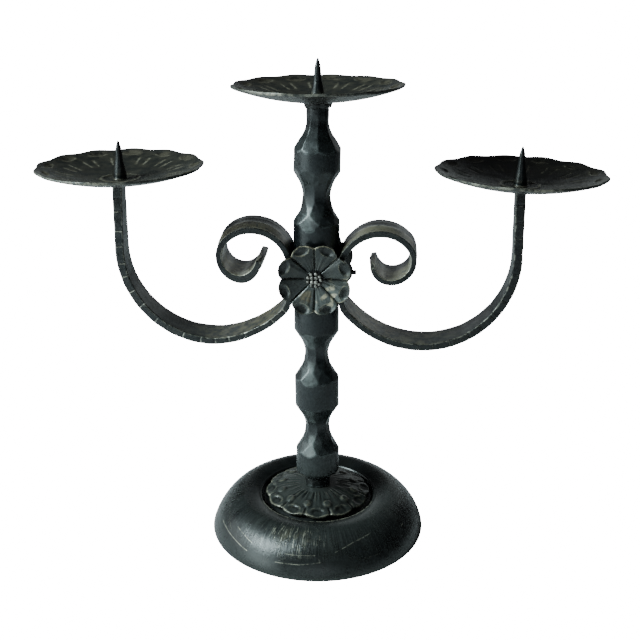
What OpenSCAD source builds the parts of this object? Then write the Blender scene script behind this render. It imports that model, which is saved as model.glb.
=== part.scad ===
// Three-arm candle holder, forged and spun iron, standing free on its base.
// A faceted round bar carries one pan at its top and two scrolled flat bars,
// pinned to its sides behind a flower, carry a pan each.
// Origin: middle of the base on the floor. +X to the right arm, +Z up.

/* [Base dish] */
// Outer diameter on the floor
base_d = 148.2; // [140:0.1:160]
// Height of the rounded crest
base_h = 26; // [24:0.1:29]
// Run from the lip out to the top of the crest
crest_run = 11.5; // [9:0.1:14]
// Sheet of the dish
base_wall = 2.2; // [1.8:0.1:2.8]
// Gap between the rosette's edge and the sharp lip round the recess
lip_gap = 2.7; // [2.2:0.1:4]
// Drop from the crest to the lip
lip_drop = 2.7; // [2:0.1:3.4]
// Drop from the lip to the recess
recess_drop = 3.3; // [2.6:0.1:4]
// Run of the recess wall
recess_run = 1.8; // [1.2:0.1:2.2]
// Gap between the rosette's edge and the recess below it
edge_gap = 2.4; // [1.6:0.1:3]
// Width of the flat seat beyond the washer
seat_margin = 1; // [0.6:0.1:2]

/* [Base rosette] */
// Diameter over the lobes
rosette_d = 73.6; // [70:0.2:74]
// Rise from the edge to the middle
rosette_rise = 7; // [6:0.1:7.6]
// Sheet of the rosette
rosette_sheet = 1.6; // [1.2:0.1:2]
// Number of lobes
lobe_n = 12; // [8:1:16]
// Turn of the lobes from the right arm
lobe_turn = 4; // [0:1:29]
// Diameter of one lobe
lobe_d = 23; // [20:0.5:26]
// Diameter of the scoop pressed into a lobe
lobe_scoop_d = 10; // [8:0.2:11]
// Depth of that scoop
lobe_scoop_depth = 0.7; // [0.4:0.1:0.8]
// Distance of the scoops' middles from the edge
lobe_scoop_inset = 4.2; // [3:0.1:6]
// Distance of the pressed bosses from the edge
dimple_inset = 10.8; // [9:0.1:12]
// Diameter of one pressed boss
dimple_d = 7; // [5:0.1:8]
// Height of one pressed boss
dimple_rise = 0.9; // [0.6:0.1:1.2]
// Width of the grooves between the lobes
lobe_groove_w = 1.3; // [0.8:0.1:1.6]
// Run of those grooves in from the edge
lobe_groove_run = 7; // [5:0.1:8]

/* [Stem] */
// Diameter of the round bar
stem_d = 29.8; // [28:0.1:31]
// Diameter of the foot below the lowest knop
foot_d = 17; // [15:0.1:20]
// Length of that foot
foot_len = 6.6; // [6:0.1:9]
// Length of the bevel above the foot
foot_bevel = 5.4; // [3:0.1:6]
// Diameter of the round neck under the top pan
neck_d = 14.2; // [13.6:0.1:16]
// Height of the lowest waist above the foot
waist_a_rise = 46.5; // [45:0.1:48]
// Diameter of the lowest waist
waist_a_d = 15.4; // [14:0.1:17]
// Height of the middle waist above the lowest
waist_b_rise = 53.1; // [51:0.1:55]
// Diameter of the middle waist
waist_b_d = 14.8; // [14:0.1:17]
// Height of the upper waist above the middle one
waist_c_rise = 106.8; // [104:0.1:109]
// Diameter of the upper waist
waist_c_d = 16.8; // [14:0.1:18]
// Height of the top waist above the upper one
waist_d_rise = 46.6; // [46:0.1:48]
// Diameter of the top waist
waist_d_d = 13.3; // [13:0.1:14]
// Length of the neck above the top waist
neck_len = 11.6; // [10:0.1:13]
// Half length of a waist up to the round bar
waist_reach = 20.6; // [19:0.1:21.4]
// Turn of the flats at a waist
waist_turn = 10; // [0:1:22]
// Turn of the shoulder flats
shoulder_turn = 20; // [0:1:22]

/* [Arms] */
// Distance of the side pans from the axis
pan_offset = 126.5; // [120:0.5:132]
// Height of the straight part's middle above the middle waist
arm_seat_rise = 52.4; // [51:0.1:54]
// Height of a side pan above the straight part's middle
arm_rise = 61; // [59:0.1:63]
// Length of the straight part
arm_seat_len = 20.2; // [19:0.1:23]
// Radius of the knee below the straight part
knee_r = 18; // [15:0.5:21]
// Turn of the knee
knee_turn = 40; // [36:1:44]
// Lean of the upright below a side pan
riser_lean = 1; // [0.5:0.1:2]
// Radius of the outer scroll turn
scroll_r = 23.9; // [22:0.1:25]
// Sweep of the outer scroll turn
scroll_turn = 137.4; // [130:0.2:142]
// Radius of the inner scroll turn
curl_r = 13.9; // [13:0.1:15]
// Sweep of the inner scroll turn
curl_turn = 202; // [190:1:206]
// Bar width at the pan
bar_w_pan = 10; // [9:0.1:11]
// Bar width at the bottom of the sweep
bar_w_sweep = 23; // [19:0.1:25]
// Bar width against the stem
bar_w_seat = 27; // [22:0.1:28]
// Bar width at the end of the outer scroll turn
bar_w_scroll = 28.4; // [26:0.1:29]
// Bar width at the fishtail end
bar_w_tail = 35.6; // [32:0.1:37]
// Bar thickness at the pan
bar_t_pan = 6.4; // [5.6:0.1:6.6]
// Bar thickness against the stem
bar_t_seat = 3.8; // [3.4:0.1:4.2]
// Bar thickness at the fishtail end
bar_t_tail = 2.7; // [2.4:0.1:3.2]
// Chamfer along the bar's edges
bar_edge = 0.8; // [0.5:0.1:1]

/* [Pans] */
// Diameter over the rim's rounded corners
pan_d = 106.6; // [98:0.1:112]
// Depth from the rim to the underside
pan_depth = 11.2; // [10:0.1:13]
// Sheet of a pan
pan_sheet = 1.6; // [1.4:0.1:2]
// Number of hammered flats round the rim
pan_flats = 13; // [10:1:16]
// Depth of a flat
pan_flat_cut = 1.7; // [1:0.1:2]
// Turn of the flats on the side pans
side_pan_turn = 12; // [0:1:27]
// Turn of the flats on the top pan
top_pan_turn = 1; // [0:1:27]
// Diameter of the dent hammered into each corner of the rim
dent_d = 11; // [8:0.5:12]
// Depth of that dent
dent_depth = 0.7; // [0.5:0.1:0.9]
// Distance of the dents' middles from the rim
dent_inset = 5.4; // [4:0.1:8]
// Diameter of the pressed ring round the spike
ring_d = 24; // [18:0.5:28]
// Width of that ring
ring_w = 3; // [2:0.1:4]
// Height of that ring
ring_rise = 0.6; // [0.4:0.1:0.9]
// Diameter of the flat seat under a pan
pan_seat_d = 13; // [12.4:0.1:14]

/* [Spikes] */
// Height of a spike above the pan
spike_h = 24; // [21:0.1:30]
// Diameter at its foot
spike_d = 7.2; // [6:0.1:9]
// Diameter of the foot flange
spike_foot_d = 9.6; // [9.4:0.1:11]
// Thickness of the foot flange
spike_foot_h = 1; // [0.8:0.1:1.4]
// Flat at the very tip
spike_tip_d = 0.8; // [0.4:0.1:1]
// Length of the spike's ground point
spike_point_h = 4.2; // [3:0.1:5]
// Diameter of the tenon below the pan
tenon_d = 3; // [2.6:0.1:3.2]
// Depth of the tenon below the pan
tenon_len = 9; // [7:0.1:12]

/* [Flowers] */
// Diameter over the petals
flower_d = 48.4; // [45:0.2:50]
// Number of petals
petal_n = 8; // [6:1:10]
// Diameter of a petal's round end
petal_d = 19; // [18:0.5:22]
// Height of the petals' rim above the flower's back
flower_rise = 4.4; // [3.6:0.1:5]
// Sheet of a flower
flower_sheet = 1.8; // [1.6:0.1:2.2]
// Width of the grooves between the petals
petal_groove_w = 1.6; // [1:0.1:2]
// Diameter of the scoop at a petal's end
scoop_d = 9.6; // [8:0.2:11]
// Depth of that scoop
scoop_depth = 1; // [0.7:0.1:1.1]
// Diameter of the flat seat behind a flower
flower_seat_d = 10; // [9:0.1:11]
// Number of berries in the outer ring of a rivet's head
berry_n = 9; // [7:1:9]
// Diameter of one berry
berry_d = 2.4; // [2.2:0.1:2.6]
// Diameter of the head that carries the berries
berry_head_d = 9; // [8.6:0.1:9.6]
// Thickness of that head
berry_head_h = 1.2; // [1:0.1:1.6]
// Diameter of the rivet's shank
rivet_d = 3.6; // [3:0.1:4]
// Depth of the shank in the stem
rivet_depth = 7; // [6:0.1:9]

/* [Fastenings] */
// Diameter of the screw through both arms
tie_d = 3; // [2.6:0.1:3.4]
// Height of that screw above the arms' straight middle
tie_rise = 3.8; // [3:0.1:6]
// Diameter of its head
tie_head_d = 6; // [5.4:0.1:7]
// Height of its head
tie_head_h = 2.2; // [1.8:0.1:2.6]
// Screw end beyond the nut
tie_end = 4.4; // [3:0.1:5]
// Width across flats of its nut
tie_nut_w = 5.5; // [5.2:0.1:6]
// Height of its nut
tie_nut_h = 2.4; // [2:0.1:3]
// Diameter of the bolt up through the base
base_bolt_d = 6; // [5:0.1:8]
// Depth of that bolt in the stem
base_bolt_depth = 16; // [12:0.5:20]
// Blind hole beyond the end of what it holds
hole_extra = 3; // [1:0.1:4]
// Width across flats of its head
base_head_w = 10; // [9:0.1:11]
// Height of its head
base_head_h = 4; // [3:0.1:5]
// Diameter of its washer
washer_d = 20; // [18:0.2:22]
// Thickness of its washer
washer_h = 1.4; // [1:0.1:2]
// Diametral clearance of screws, tenons and rivets in their holes
fit = 0.2; // [0.1:0.05:0.3]

/* [Welds] */
// Diameter of the weld under the top pan
weld_d = 19.4; // [18:0.1:21]
// Height of that weld
weld_h = 4; // [3.4:0.1:4.6]
// Number of beads in it
weld_n = 7; // [6:1:9]
// Width of the weld bead round an arm's top end
bead_w = 2.2; // [1.8:0.1:2.6]
// Gap between a weld bead and the bar inside it
weld_gap = 0.05; // [0.04:0.01:0.1]

/* [Hidden] */
$fn = 72;

// Angles and pure ratios
full_turn = 360;
half_turn = 180;
quarter = 90;
octant = 45;
hex_n = 6;
curve_steps = 14;
cup_steps = 9;
ring_steps = 6;
dome_steps = 6;
sweep_step = 6;
prism_n = 4;
side_power = 1.25;
crest_power = 1.29;
flank_share = 0.24;
flank_rise_share = 0.09;
flank_end_share = 0.89;
run_out_share = 0.35;
neck_cone_share = 0.4;
head_share = 0.7;
shoulder_share = 0.52;
shoulder_rise_share = 0.52;
waist_guard_share = 1.16;
rim_corner_shares = [[-0.16, 0.06], [0, 0], [0.16, 0.06], [0.36, 0.8], [0.5, 1], [0.64, 0.8]];
spike_waist_share = 0.64;
spike_waist_h_share = 0.45;
spike_point_share = 0.7;
berry_sink_share = 0.2;
weld_wave_share = 0.28;
inner_berries = 4;
inner_ring_share = 0.34;

// Base heights
lip_z = base_h - lip_drop;
recess_z = lip_z - recess_drop;
boss_z = recess_z + edge_gap + rosette_rise;
rosette_top = boss_z + rosette_sheet;
lip_r = rosette_d / 2 + lip_gap;
crest_r = lip_r + crest_run;
boss_r = washer_d / 2 + seat_margin;
over = base_wall / 2;

// Stem sizes, from the foot up
stem_r = stem_d / 2;
stem_base = rosette_top;
waist_a_z = stem_base + waist_a_rise;
waist_b_z = waist_a_z + waist_b_rise;
waist_c_z = waist_b_z + waist_c_rise;
waist_d_z = waist_c_z + waist_d_rise;
waists = [
    [waist_a_z, waist_a_d / 2], [waist_b_z, waist_b_d / 2],
    [waist_c_z, waist_c_d / 2], [waist_d_z, waist_d_d / 2]
];
waist_last = len(waists) - 1;
stem_top = waist_d_z + neck_len;
arm_seat_z = waist_b_z + arm_seat_rise;
arm_top = arm_seat_z + arm_rise;
tie_z = arm_seat_z + tie_rise;

// Pan sizes
pan_r = pan_d / 2;
pan_ball_r = cup_ball_r(pan_r, pan_depth - pan_sheet);
spike_base = pan_floor(spike_foot_d / 2);
flat_cut = fit * 2;
seat_x = stem_r - flat_cut;
seat_span = arm_seat_len + flower_d / 2;

// Arm path: upright, sweep, knee, straight seat, scroll and curl, each with
// the angle of its outward normal in the plane of the arms
bar_x = seat_x + bar_t_seat / 2;
seat_low = arm_seat_z - arm_seat_len / 2;
seat_high = arm_seat_z + arm_seat_len / 2;
knee_end_x = bar_x + knee_r * (1 - cos(knee_turn));
knee_end_z = seat_low - knee_r * sin(knee_turn);
phi_riser = riser_lean;
phi_knee = knee_turn - half_turn;
phi_seat = -half_turn;
phi_curl = phi_seat - scroll_turn;
phi_end = phi_curl - curl_turn;
sweep_turn = phi_riser - phi_knee;

// The sweep's radius brings the upright's top under the side pan
sweep_r = sweep_radius();
sweep_mid = [knee_end_x + sweep_r * cos(knee_turn), knee_end_z + sweep_r * sin(knee_turn)];
knee_mid = [bar_x + knee_r, seat_low];
scroll_mid = [bar_x + scroll_r, seat_high];
curl_mid = scroll_mid + (scroll_r - curl_r) * [cos(phi_curl), sin(phi_curl)];
riser_low = sweep_mid + sweep_r * [cos(phi_riser), sin(phi_riser)];
riser_len = (arm_top - riser_low[1]) / cos(riser_lean) + bar_t_pan;
sweep_len = arc_len(sweep_r, sweep_turn);
knee_len = arc_len(knee_r, knee_turn);
scroll_len = arc_len(scroll_r, scroll_turn);
curl_len = arc_len(curl_r, curl_turn);

// Stations along the bar: width and thickness at named places
s_riser = riser_len;
s_sweep = s_riser + sweep_len;
s_knee = s_sweep + knee_len;
s_seat = s_knee + arm_seat_len;
s_scroll = s_seat + scroll_len;
s_curl = s_scroll + curl_len;
s_bottom = s_riser + sweep_len * (quarter + riser_lean) / sweep_turn;
width_at = [
    [0, bar_w_pan], [s_bottom, bar_w_sweep], [s_knee, bar_w_seat],
    [s_seat, bar_w_seat], [s_scroll, bar_w_scroll], [s_curl, bar_w_tail]
];
thick_at = [
    [0, bar_t_pan], [s_knee, bar_t_seat],
    [s_seat, bar_t_seat], [s_curl, bar_t_tail]
];

function ball_drop(r, x) = r - sqrt(r * r - x * x);
function arc_len(r, turn) = r * turn * PI / half_turn;
function sweep_radius() =
    (pan_offset - knee_end_x + (arm_top - knee_end_z) * tan(riser_lean))
    / (cos(knee_turn) + cos(riser_lean)
       + (sin(knee_turn) + sin(riser_lean)) * tan(riser_lean));

// Rounded section of the base from the floor to the crest
function crest_curve(r_out, h, r_in) = [
    for (i = [0:curve_steps])
        let (a = quarter * i / curve_steps)
        [r_in + (r_out - r_in) * pow(cos(a), side_power), h * pow(sin(a), crest_power)]
];

// Rounded fall from one ring to another, level at the first
function fall_curve(r_a, z_a, r_b, z_b) = [
    for (i = [1:dome_steps])
        let (u = i / dome_steps)
        [r_a + (r_b - r_a) * u, z_a + (z_b - z_a) * u * u]
];

function reversed(list) = [for (i = [len(list) - 1:-1:0]) list[i]];

function mix(a, b, u) = a + (b - a) * u;
function on_arc(mid, r, a) = [mid[0] + r * cos(a), mid[1] + r * sin(a), a];

// Point of the arm's path at the length s from the pan: x, z and the normal
function bar_point(s) =
    s < s_riser ? [
        riser_low[0] - (riser_len - s) * sin(riser_lean),
        riser_low[1] + (riser_len - s) * cos(riser_lean),
        phi_riser
    ] :
    s < s_sweep ?
        on_arc(sweep_mid, sweep_r, mix(phi_riser, phi_knee, (s - s_riser) / sweep_len)) :
    s < s_knee ?
        on_arc(knee_mid, knee_r, mix(phi_knee, phi_seat, (s - s_sweep) / knee_len)) :
    s < s_seat ? [bar_x, seat_low + (s - s_knee), phi_seat] :
    s < s_scroll ?
        on_arc(scroll_mid, scroll_r, mix(phi_seat, phi_curl, (s - s_seat) / scroll_len)) :
    on_arc(curl_mid, curl_r, mix(phi_curl, phi_end, (s - s_scroll) / curl_len));

function spaced(from, to, n) = [for (i = [0:n - 1]) from + (to - from) * i / n];
function steps_for(turn) = ceil(turn / sweep_step);
bar_stations = concat(
    spaced(0, s_riser, 2),
    spaced(s_riser, s_sweep, steps_for(sweep_turn)),
    spaced(s_sweep, s_knee, steps_for(knee_turn)),
    spaced(s_knee, s_seat, 1),
    spaced(s_seat, s_scroll, steps_for(scroll_turn)),
    spaced(s_scroll, s_curl, steps_for(curl_turn)),
    [s_curl]
);

// Eight corners of the bar's chamfered section at one station
function bar_ring(s) =
    let (
        p = bar_point(s),
        w = lookup(s, width_at) / 2,
        t = lookup(s, thick_at) / 2,
        c = bar_edge * t / (bar_t_pan / 2),
        out = [cos(p[2]), sin(p[2])],
        corners = [
            [w - c, t], [w, t - c], [w, c - t], [w - c, -t],
            [c - w, -t], [-w, c - t], [-w, t - c], [c - w, t]
        ]
    )
    [for (q = corners) [p[0] + out[0] * q[1], q[0], p[1] + out[1] * q[1]]];

base_dish();
base_rosette();
base_bolt();
base_washer();
stem();
left_arm();
right_arm();
tie_screw();
tie_nut();
front_flower();
front_flower_rivet();
rear_flower();
rear_flower_rivet();
top_pan();
left_pan();
right_pan();
top_spike();
left_spike();
right_spike();
top_weld();
left_weld();
right_weld();

// The base dish is one spun sheet: round crest, sharp lip, recess and seat
module base_dish()
color("dimgray")
difference() {
    base_shell();
    translate([0, 0, recess_z])
    cylinder(h = boss_z, d = base_bolt_d + fit);
}

module base_shell() {
    recess_r = lip_r - recess_run;
    top = concat(
        crest_curve(base_d / 2, base_h, crest_r),
        fall_curve(crest_r, base_h, lip_r, lip_z),
        [[recess_r, recess_z]],
        reversed(fall_curve(boss_r, boss_z, recess_r - recess_run, recess_z)),
        [[boss_r, boss_z], [0, boss_z]]
    );
    under = concat(
        crest_curve(base_d / 2 - base_wall, base_h - base_wall, crest_r),
        fall_curve(crest_r, base_h - base_wall, lip_r + base_wall, lip_z - base_wall),
        [[recess_r + base_wall / 2, recess_z - base_wall]],
        reversed(fall_curve(boss_r, boss_z - base_wall, recess_r - recess_run,
                            recess_z - base_wall)),
        [[boss_r, boss_z - base_wall], [0, boss_z - base_wall]]
    );
    rotate_extrude()
    polygon(concat(top, reversed(under)));
}

// The base rosette is a pressed dome with a scalloped edge, a scoop in each
// lobe and a boss between two of them
module base_rosette()
color("darkgray")
rotate([0, 0, lobe_turn])
difference() {
    intersection() {
        union() {
            rosette_dome();
            rosette_bosses();
        }
        lobed_prism(rosette_d, lobe_d, lobe_n, rosette_top + over);
    }
    rosette_grooves();
    rosette_scoops();
    cylinder(h = rosette_top + over, d = base_bolt_d + fit);
}

// Height of the rosette's upper face at a radius, and its fall there
function dome_z(r) =
    rosette_top - rosette_rise * pow((r - boss_r) / (rosette_d / 2 - boss_r), 2);
function dome_fall(r) =
    atan(2 * rosette_rise * (r - boss_r) / pow(rosette_d / 2 - boss_r, 2));

module rosette_dome() {
    edge_r = rosette_d / 2;
    edge_z = rosette_top - rosette_rise;
    top = concat([[0, rosette_top], [boss_r, rosette_top]],
                 fall_curve(boss_r, rosette_top, edge_r, edge_z));
    under = [for (p = top) [p[0], p[1] - rosette_sheet]];
    rotate_extrude()
    polygon(concat(top, reversed(under)));
}

// Bosses are round caps pressed up on a ring, between the lobes
module rosette_bosses() {
    ring_r = rosette_d / 2 - dimple_inset;
    ball_r = cup_ball_r(dimple_d / 2, dimple_rise);
    difference() {
        for (i = [0:lobe_n - 1])
            rotate([0, 0, full_turn * (i + 1 / 2) / lobe_n])
            translate([ring_r, 0, dome_z(ring_r) + dimple_rise - ball_r])
            sphere(r = ball_r);
        rosette_under_space();
    }
}

// Space below the middle of the rosette's sheet, kept clear of the bosses' balls
module rosette_under_space() {
    edge_r = rosette_d / 2;
    edge_z = rosette_top - rosette_rise;
    line = concat([[0, rosette_top], [boss_r, rosette_top]],
                  fall_curve(boss_r, rosette_top, edge_r, edge_z));
    rotate_extrude()
    polygon(concat(
        [[0, 0]],
        [for (p = line) [p[0], p[1] - rosette_sheet / 2]],
        [[rosette_d, edge_z - rosette_sheet], [rosette_d, 0]]
    ));
}

// Grooves run in from the notches between the lobes
module rosette_grooves() {
    mid_r = (rosette_d - lobe_groove_run) / 2;
    for (i = [0:lobe_n - 1])
        rotate([0, 0, full_turn * (i + 1 / 2) / lobe_n])
        translate([mid_r, 0, dome_z(mid_r)])
        rotate([0, quarter + dome_fall(mid_r), 0])
        cylinder(h = lobe_groove_run, d = lobe_groove_w, center = true);
}

module rosette_scoops() {
    at_r = rosette_d / 2 - lobe_scoop_inset;
    ball_r = cup_ball_r(lobe_scoop_d / 2, lobe_scoop_depth);
    for (i = [0:lobe_n - 1])
        rotate([0, 0, full_turn * i / lobe_n])
        translate([at_r, 0, dome_z(at_r)])
        rotate([0, dome_fall(at_r), 0])
        translate([0, 0, ball_r - lobe_scoop_depth])
        sphere(r = ball_r);
}

// Outline of overlapping rounds, used for the rosette and the flowers
module lobed_prism(d, round_d, n, h) {
    linear_extrude(height = h)
    union() {
        circle(d = d - round_d);
        for (i = [0:n - 1])
            rotate(full_turn * i / n)
            translate([(d - round_d) / 2, 0])
            circle(d = round_d);
    }
}

module base_bolt()
color("silver")
translate([0, 0, boss_z - base_wall - washer_h]) {
    translate([0, 0, -base_head_h])
    cylinder(h = base_head_h, d = base_head_w / cos(half_turn / hex_n), $fn = hex_n);
    cylinder(h = stem_base + base_bolt_depth - (boss_z - base_wall - washer_h),
             d = base_bolt_d);
}

module base_washer()
color("silver")
translate([0, 0, boss_z - base_wall - washer_h])
difference() {
    cylinder(h = washer_h, d = washer_d);
    translate([0, 0, -over])
    cylinder(h = washer_h + 2 * over, d = base_bolt_d + fit);
}

// The stem is a round bar with forged waists: flats cut all round each waist
module stem()
color("slategray")
difference() {
    intersection() {
        stem_round();
        for_flats(waist_turn)
        waist_prism();
        for_flats(shoulder_turn)
        shoulder_prism();
    }
    arm_seats();
    flower_seats();
    stem_bores();
}

module stem_round() {
    neck_r = neck_d / 2;
    knop_z = stem_base + foot_len + foot_bevel;
    rotate_extrude()
    polygon([
        [0, stem_base], [foot_d / 2, stem_base],
        [foot_d / 2, stem_base + foot_len], [stem_r, knop_z],
        [stem_r, waist_d_z - waist_reach * neck_cone_share], [neck_r, waist_d_z],
        [neck_r, stem_top], [0, stem_top]
    ]);
}

module for_flats(turn) {
    intersection_for(i = [0:prism_n - 1])
        rotate([0, 0, turn + octant * i])
        children();
}

// Side view of the flats at every waist, running out past the round bar
module waist_prism() {
    mirrored_prism([
        for (i = [0:waist_last])
            let (a = waists[i][1] * cos(half_turn / (2 * prism_n)))
            each flank(i, a, [a + (stem_r - a) * flank_rise_share, waist_reach * flank_share],
                       [stem_r, waist_reach * flank_end_share])
    ]);
}

module shoulder_prism() {
    mirrored_prism([
        for (i = [0:waist_last])
            let (a = waists[i][1] * waist_guard_share)
            each flank(i, a, [a + (stem_r - a) * shoulder_rise_share,
                              waist_reach * shoulder_share],
                       [stem_r, waist_reach])
    ]);
}

// Flats of one waist in side view: a middle, a bend and an end on the bar,
// carried on past it or to halfway between two waists
function flank(i, a, bend, end) =
    let (
        z = waists[i][0],
        low = past_end(bend, end, i > 0 ? (z - waists[i - 1][0]) / 2 : z),
        high = past_end(bend, end, i < waist_last ? (waists[i + 1][0] - z) / 2 : z)
    )
    [
        [low[0], z - low[1]], [bend[0], z - bend[1]], [a, z],
        [bend[0], z + bend[1]], [high[0], z + high[1]]
    ];
function past_end(bend, end, room) =
    end + (end - bend) * min(run_out_share, (room - end[1]) / (end[1] - bend[1]));

module mirrored_prism(flanks) {
    side = concat(
        [[flanks[0][0], 0]],
        flanks,
        [[flanks[0][0], stem_top + stem_d]]
    );
    rotate([quarter, 0, 0])
    linear_extrude(height = 2 * stem_d, center = true)
    polygon(concat(side, [for (p = reversed(side)) [-p[0], p[1]]]));
}

module arm_seats() {
    for (side = [0, half_turn])
        rotate([0, 0, side])
        translate([seat_x, -stem_r, arm_seat_z - seat_span / 2])
        cube([stem_r, stem_d, seat_span]);
}

module flower_seats() {
    for (side = [0, half_turn])
        rotate([0, 0, side])
        translate([-stem_r, seat_x, tie_z - seat_span / 2])
        cube([stem_d, stem_r, seat_span]);
}

module stem_bores() {
    translate([0, 0, stem_base - over])
    cylinder(h = base_bolt_depth + hole_extra + over, d = base_bolt_d + fit);
    translate([0, 0, stem_top - tenon_len - hole_extra])
    cylinder(h = tenon_len + hole_extra + over, d = tenon_d + fit);
    translate([0, 0, tie_z])
    rotate([0, quarter, 0])
    cylinder(h = 2 * stem_d, d = tie_d + fit, center = true);
    for (side = [0, half_turn])
        rotate([0, 0, side])
        translate([0, seat_x + over, tie_z])
        rotate([quarter, 0, 0])
        cylinder(h = rivet_depth + over + fit, d = rivet_d + fit);
}

// One scrolled arm: a flat bar swept along five joined arcs, its width
// growing and its thickness drawn down from the pan to the fishtail
module arm()
difference() {
    swept_bar();
    translate([pan_offset - pan_d / 2, -pan_d / 2, arm_top])
    cube([pan_d, pan_d, pan_depth]);
    translate([pan_offset, 0, arm_top - tenon_len - hole_extra])
    cylinder(h = tenon_len + hole_extra + pan_depth, d = tenon_d + fit);
    translate([bar_x, 0, tie_z])
    rotate([0, quarter, 0])
    cylinder(h = 3 * bar_t_seat, d = tie_d + fit, center = true);
}

module swept_bar() {
    corner_n = 8;
    last = len(bar_stations) - 1;
    points = [for (s = bar_stations) each bar_ring(s)];
    sides = [
        for (i = [0:last - 1], j = [0:corner_n - 1])
            let (
                a = i * corner_n + j,
                b = i * corner_n + (j + 1) % corner_n
            )
            [a, b, b + corner_n, a + corner_n]
    ];
    start = [[for (j = [corner_n - 1:-1:0]) j]];
    end = [[for (j = [0:corner_n - 1]) last * corner_n + j]];
    polyhedron(points = points, faces = concat(sides, start, end));
}

module right_arm()
color("steelblue")
arm();

module left_arm()
color("steelblue")
mirror([1, 0, 0])
arm();

// A round-head screw ties both arms to the stem, its end past the nut
module tie_screw()
color("gainsboro")
translate([0, 0, tie_z])
rotate([0, quarter, 0]) {
    outer = seat_x + bar_t_seat;
    translate([0, 0, -outer - tie_head_h])
    cylinder(h = tie_head_h, d1 = tie_head_d * head_share, d2 = tie_head_d);
    translate([0, 0, -outer - tie_head_h])
    cylinder(h = 2 * outer + tie_head_h + tie_nut_h + tie_end, d = tie_d);
}

module tie_nut()
color("gainsboro")
translate([seat_x + bar_t_seat, 0, tie_z])
rotate([0, quarter, 0])
difference() {
    cylinder(h = tie_nut_h, d = tie_nut_w / cos(half_turn / hex_n), $fn = hex_n);
    translate([0, 0, -over])
    cylinder(h = tie_nut_h + 2 * over, d = tie_d + fit);
}

// A flower is a shallow pressed cup with grooved, scooped petals, turned so
// that one groove stands upright
module flower() {
    ball_r = cup_ball_r(flower_d / 2, flower_rise);
    rotate([0, 0, half_turn / petal_n])
    difference() {
        intersection() {
            rotate_extrude()
            polygon(cup_section(ball_r, flower_sheet, flower_seat_d / 2, flower_d / 2 + over));
            lobed_prism(flower_d, petal_d, petal_n, flower_rise + 2 * flower_sheet);
        }
        petal_grooves(ball_r);
        petal_scoops(ball_r);
        translate([0, 0, -over])
        cylinder(h = 2 * flower_sheet, d = rivet_d + fit);
    }
}

function cup_ball_r(r, rise) = (r * r + rise * rise) / (2 * rise);

// Half section of a round cup of sheet: flat seat, then two parallel arcs
function cup_section(ball_r, sheet, seat_r, r_end) =
    let (
        flat_h = ball_drop(ball_r, seat_r),
        in_r = ball_r - sheet,
        turn_a = asin(seat_r / ball_r),
        turn_b = asin(r_end / ball_r),
        mid_z = ball_r - flat_h
    )
    concat(
        [[0, 0]],
        [
            for (i = [0:cup_steps])
                let (a = mix(turn_a, turn_b, i / cup_steps))
                [ball_r * sin(a), mid_z - ball_r * cos(a)]
        ],
        [
            for (i = [cup_steps:-1:0])
                let (a = turn_b * i / cup_steps)
                [in_r * sin(a), mid_z - in_r * cos(a)]
        ]
    );

module petal_grooves(ball_r) {
    rise = asin(flower_d / 4 / ball_r);
    for (i = [0:petal_n - 1])
        rotate([0, 0, full_turn * (i + 1 / 2) / petal_n])
        in_cup(ball_r, flower_sheet, flower_seat_d / 2, rise)
        rotate([0, quarter, 0])
        cylinder(h = flower_d / 2, d = petal_groove_w, center = true);
}

module petal_scoops(ball_r) {
    at = asin((flower_d / 2 - scoop_d / 4) / ball_r);
    scoop_r = cup_ball_r(scoop_d / 2, scoop_depth);
    for (i = [0:petal_n - 1])
        rotate([0, 0, full_turn * i / petal_n])
        in_cup(ball_r, flower_sheet, flower_seat_d / 2, at)
        translate([0, 0, scoop_r - scoop_depth])
        sphere(r = scoop_r);
}

// Frame on the inner face of a cup, turned out from its middle by an angle
module in_cup(ball_r, sheet, seat_r, a)
translate([0, 0, ball_r - ball_drop(ball_r, seat_r)])
rotate([0, -a, 0])
translate([0, 0, sheet - ball_r])
children();

module flower_rivet() {
    ball_r = cup_ball_r(flower_d / 2, flower_rise);
    head_r = berry_head_d / 2;
    sheet_top = flower_sheet - ball_drop(ball_r, flower_seat_d / 2)
                + ball_drop(ball_r - flower_sheet, head_r);
    ring_r = (berry_head_d - berry_d) / 2;
    translate([0, 0, -rivet_depth])
    cylinder(h = rivet_depth + sheet_top + berry_head_h, d = rivet_d);
    translate([0, 0, sheet_top])
    cylinder(h = berry_head_h, d = berry_head_d);
    for (i = [0:berry_n - 1])
        rotate([0, 0, full_turn * i / berry_n])
        translate([ring_r, 0, sheet_top + berry_head_h + berry_d * berry_sink_share])
        sphere(d = berry_d);
    for (i = [0:inner_berries - 1])
        rotate([0, 0, full_turn * i / inner_berries])
        translate([berry_head_d * inner_ring_share / 2, 0,
                   sheet_top + berry_head_h + 2 * berry_d * berry_sink_share])
        sphere(d = berry_d);
}

module on_front()
translate([0, -seat_x, tie_z])
rotate([quarter, 0, 0])
children();

module on_rear()
rotate([0, 0, half_turn])
on_front()
children();

module front_flower()
color("lightslategray")
on_front()
flower();

module rear_flower()
color("lightslategray")
on_rear()
flower();

module front_flower_rivet()
color("tan")
on_front()
flower_rivet();

module rear_flower_rivet()
color("tan")
on_rear()
flower_rivet();

// A pan is a shallow round bowl of sheet with a hammered rim and a ring
// pressed up round its spike
module pan() {
    intersection() {
        difference() {
            union() {
                rotate_extrude()
                polygon(cup_section(pan_ball_r, pan_sheet, pan_seat_d / 2, pan_r + over));
                pan_ring();
            }
            pan_dents();
            translate([0, 0, -over])
            cylinder(h = pan_depth, d = tenon_d + fit);
        }
        rim_prism();
    }
}

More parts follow.
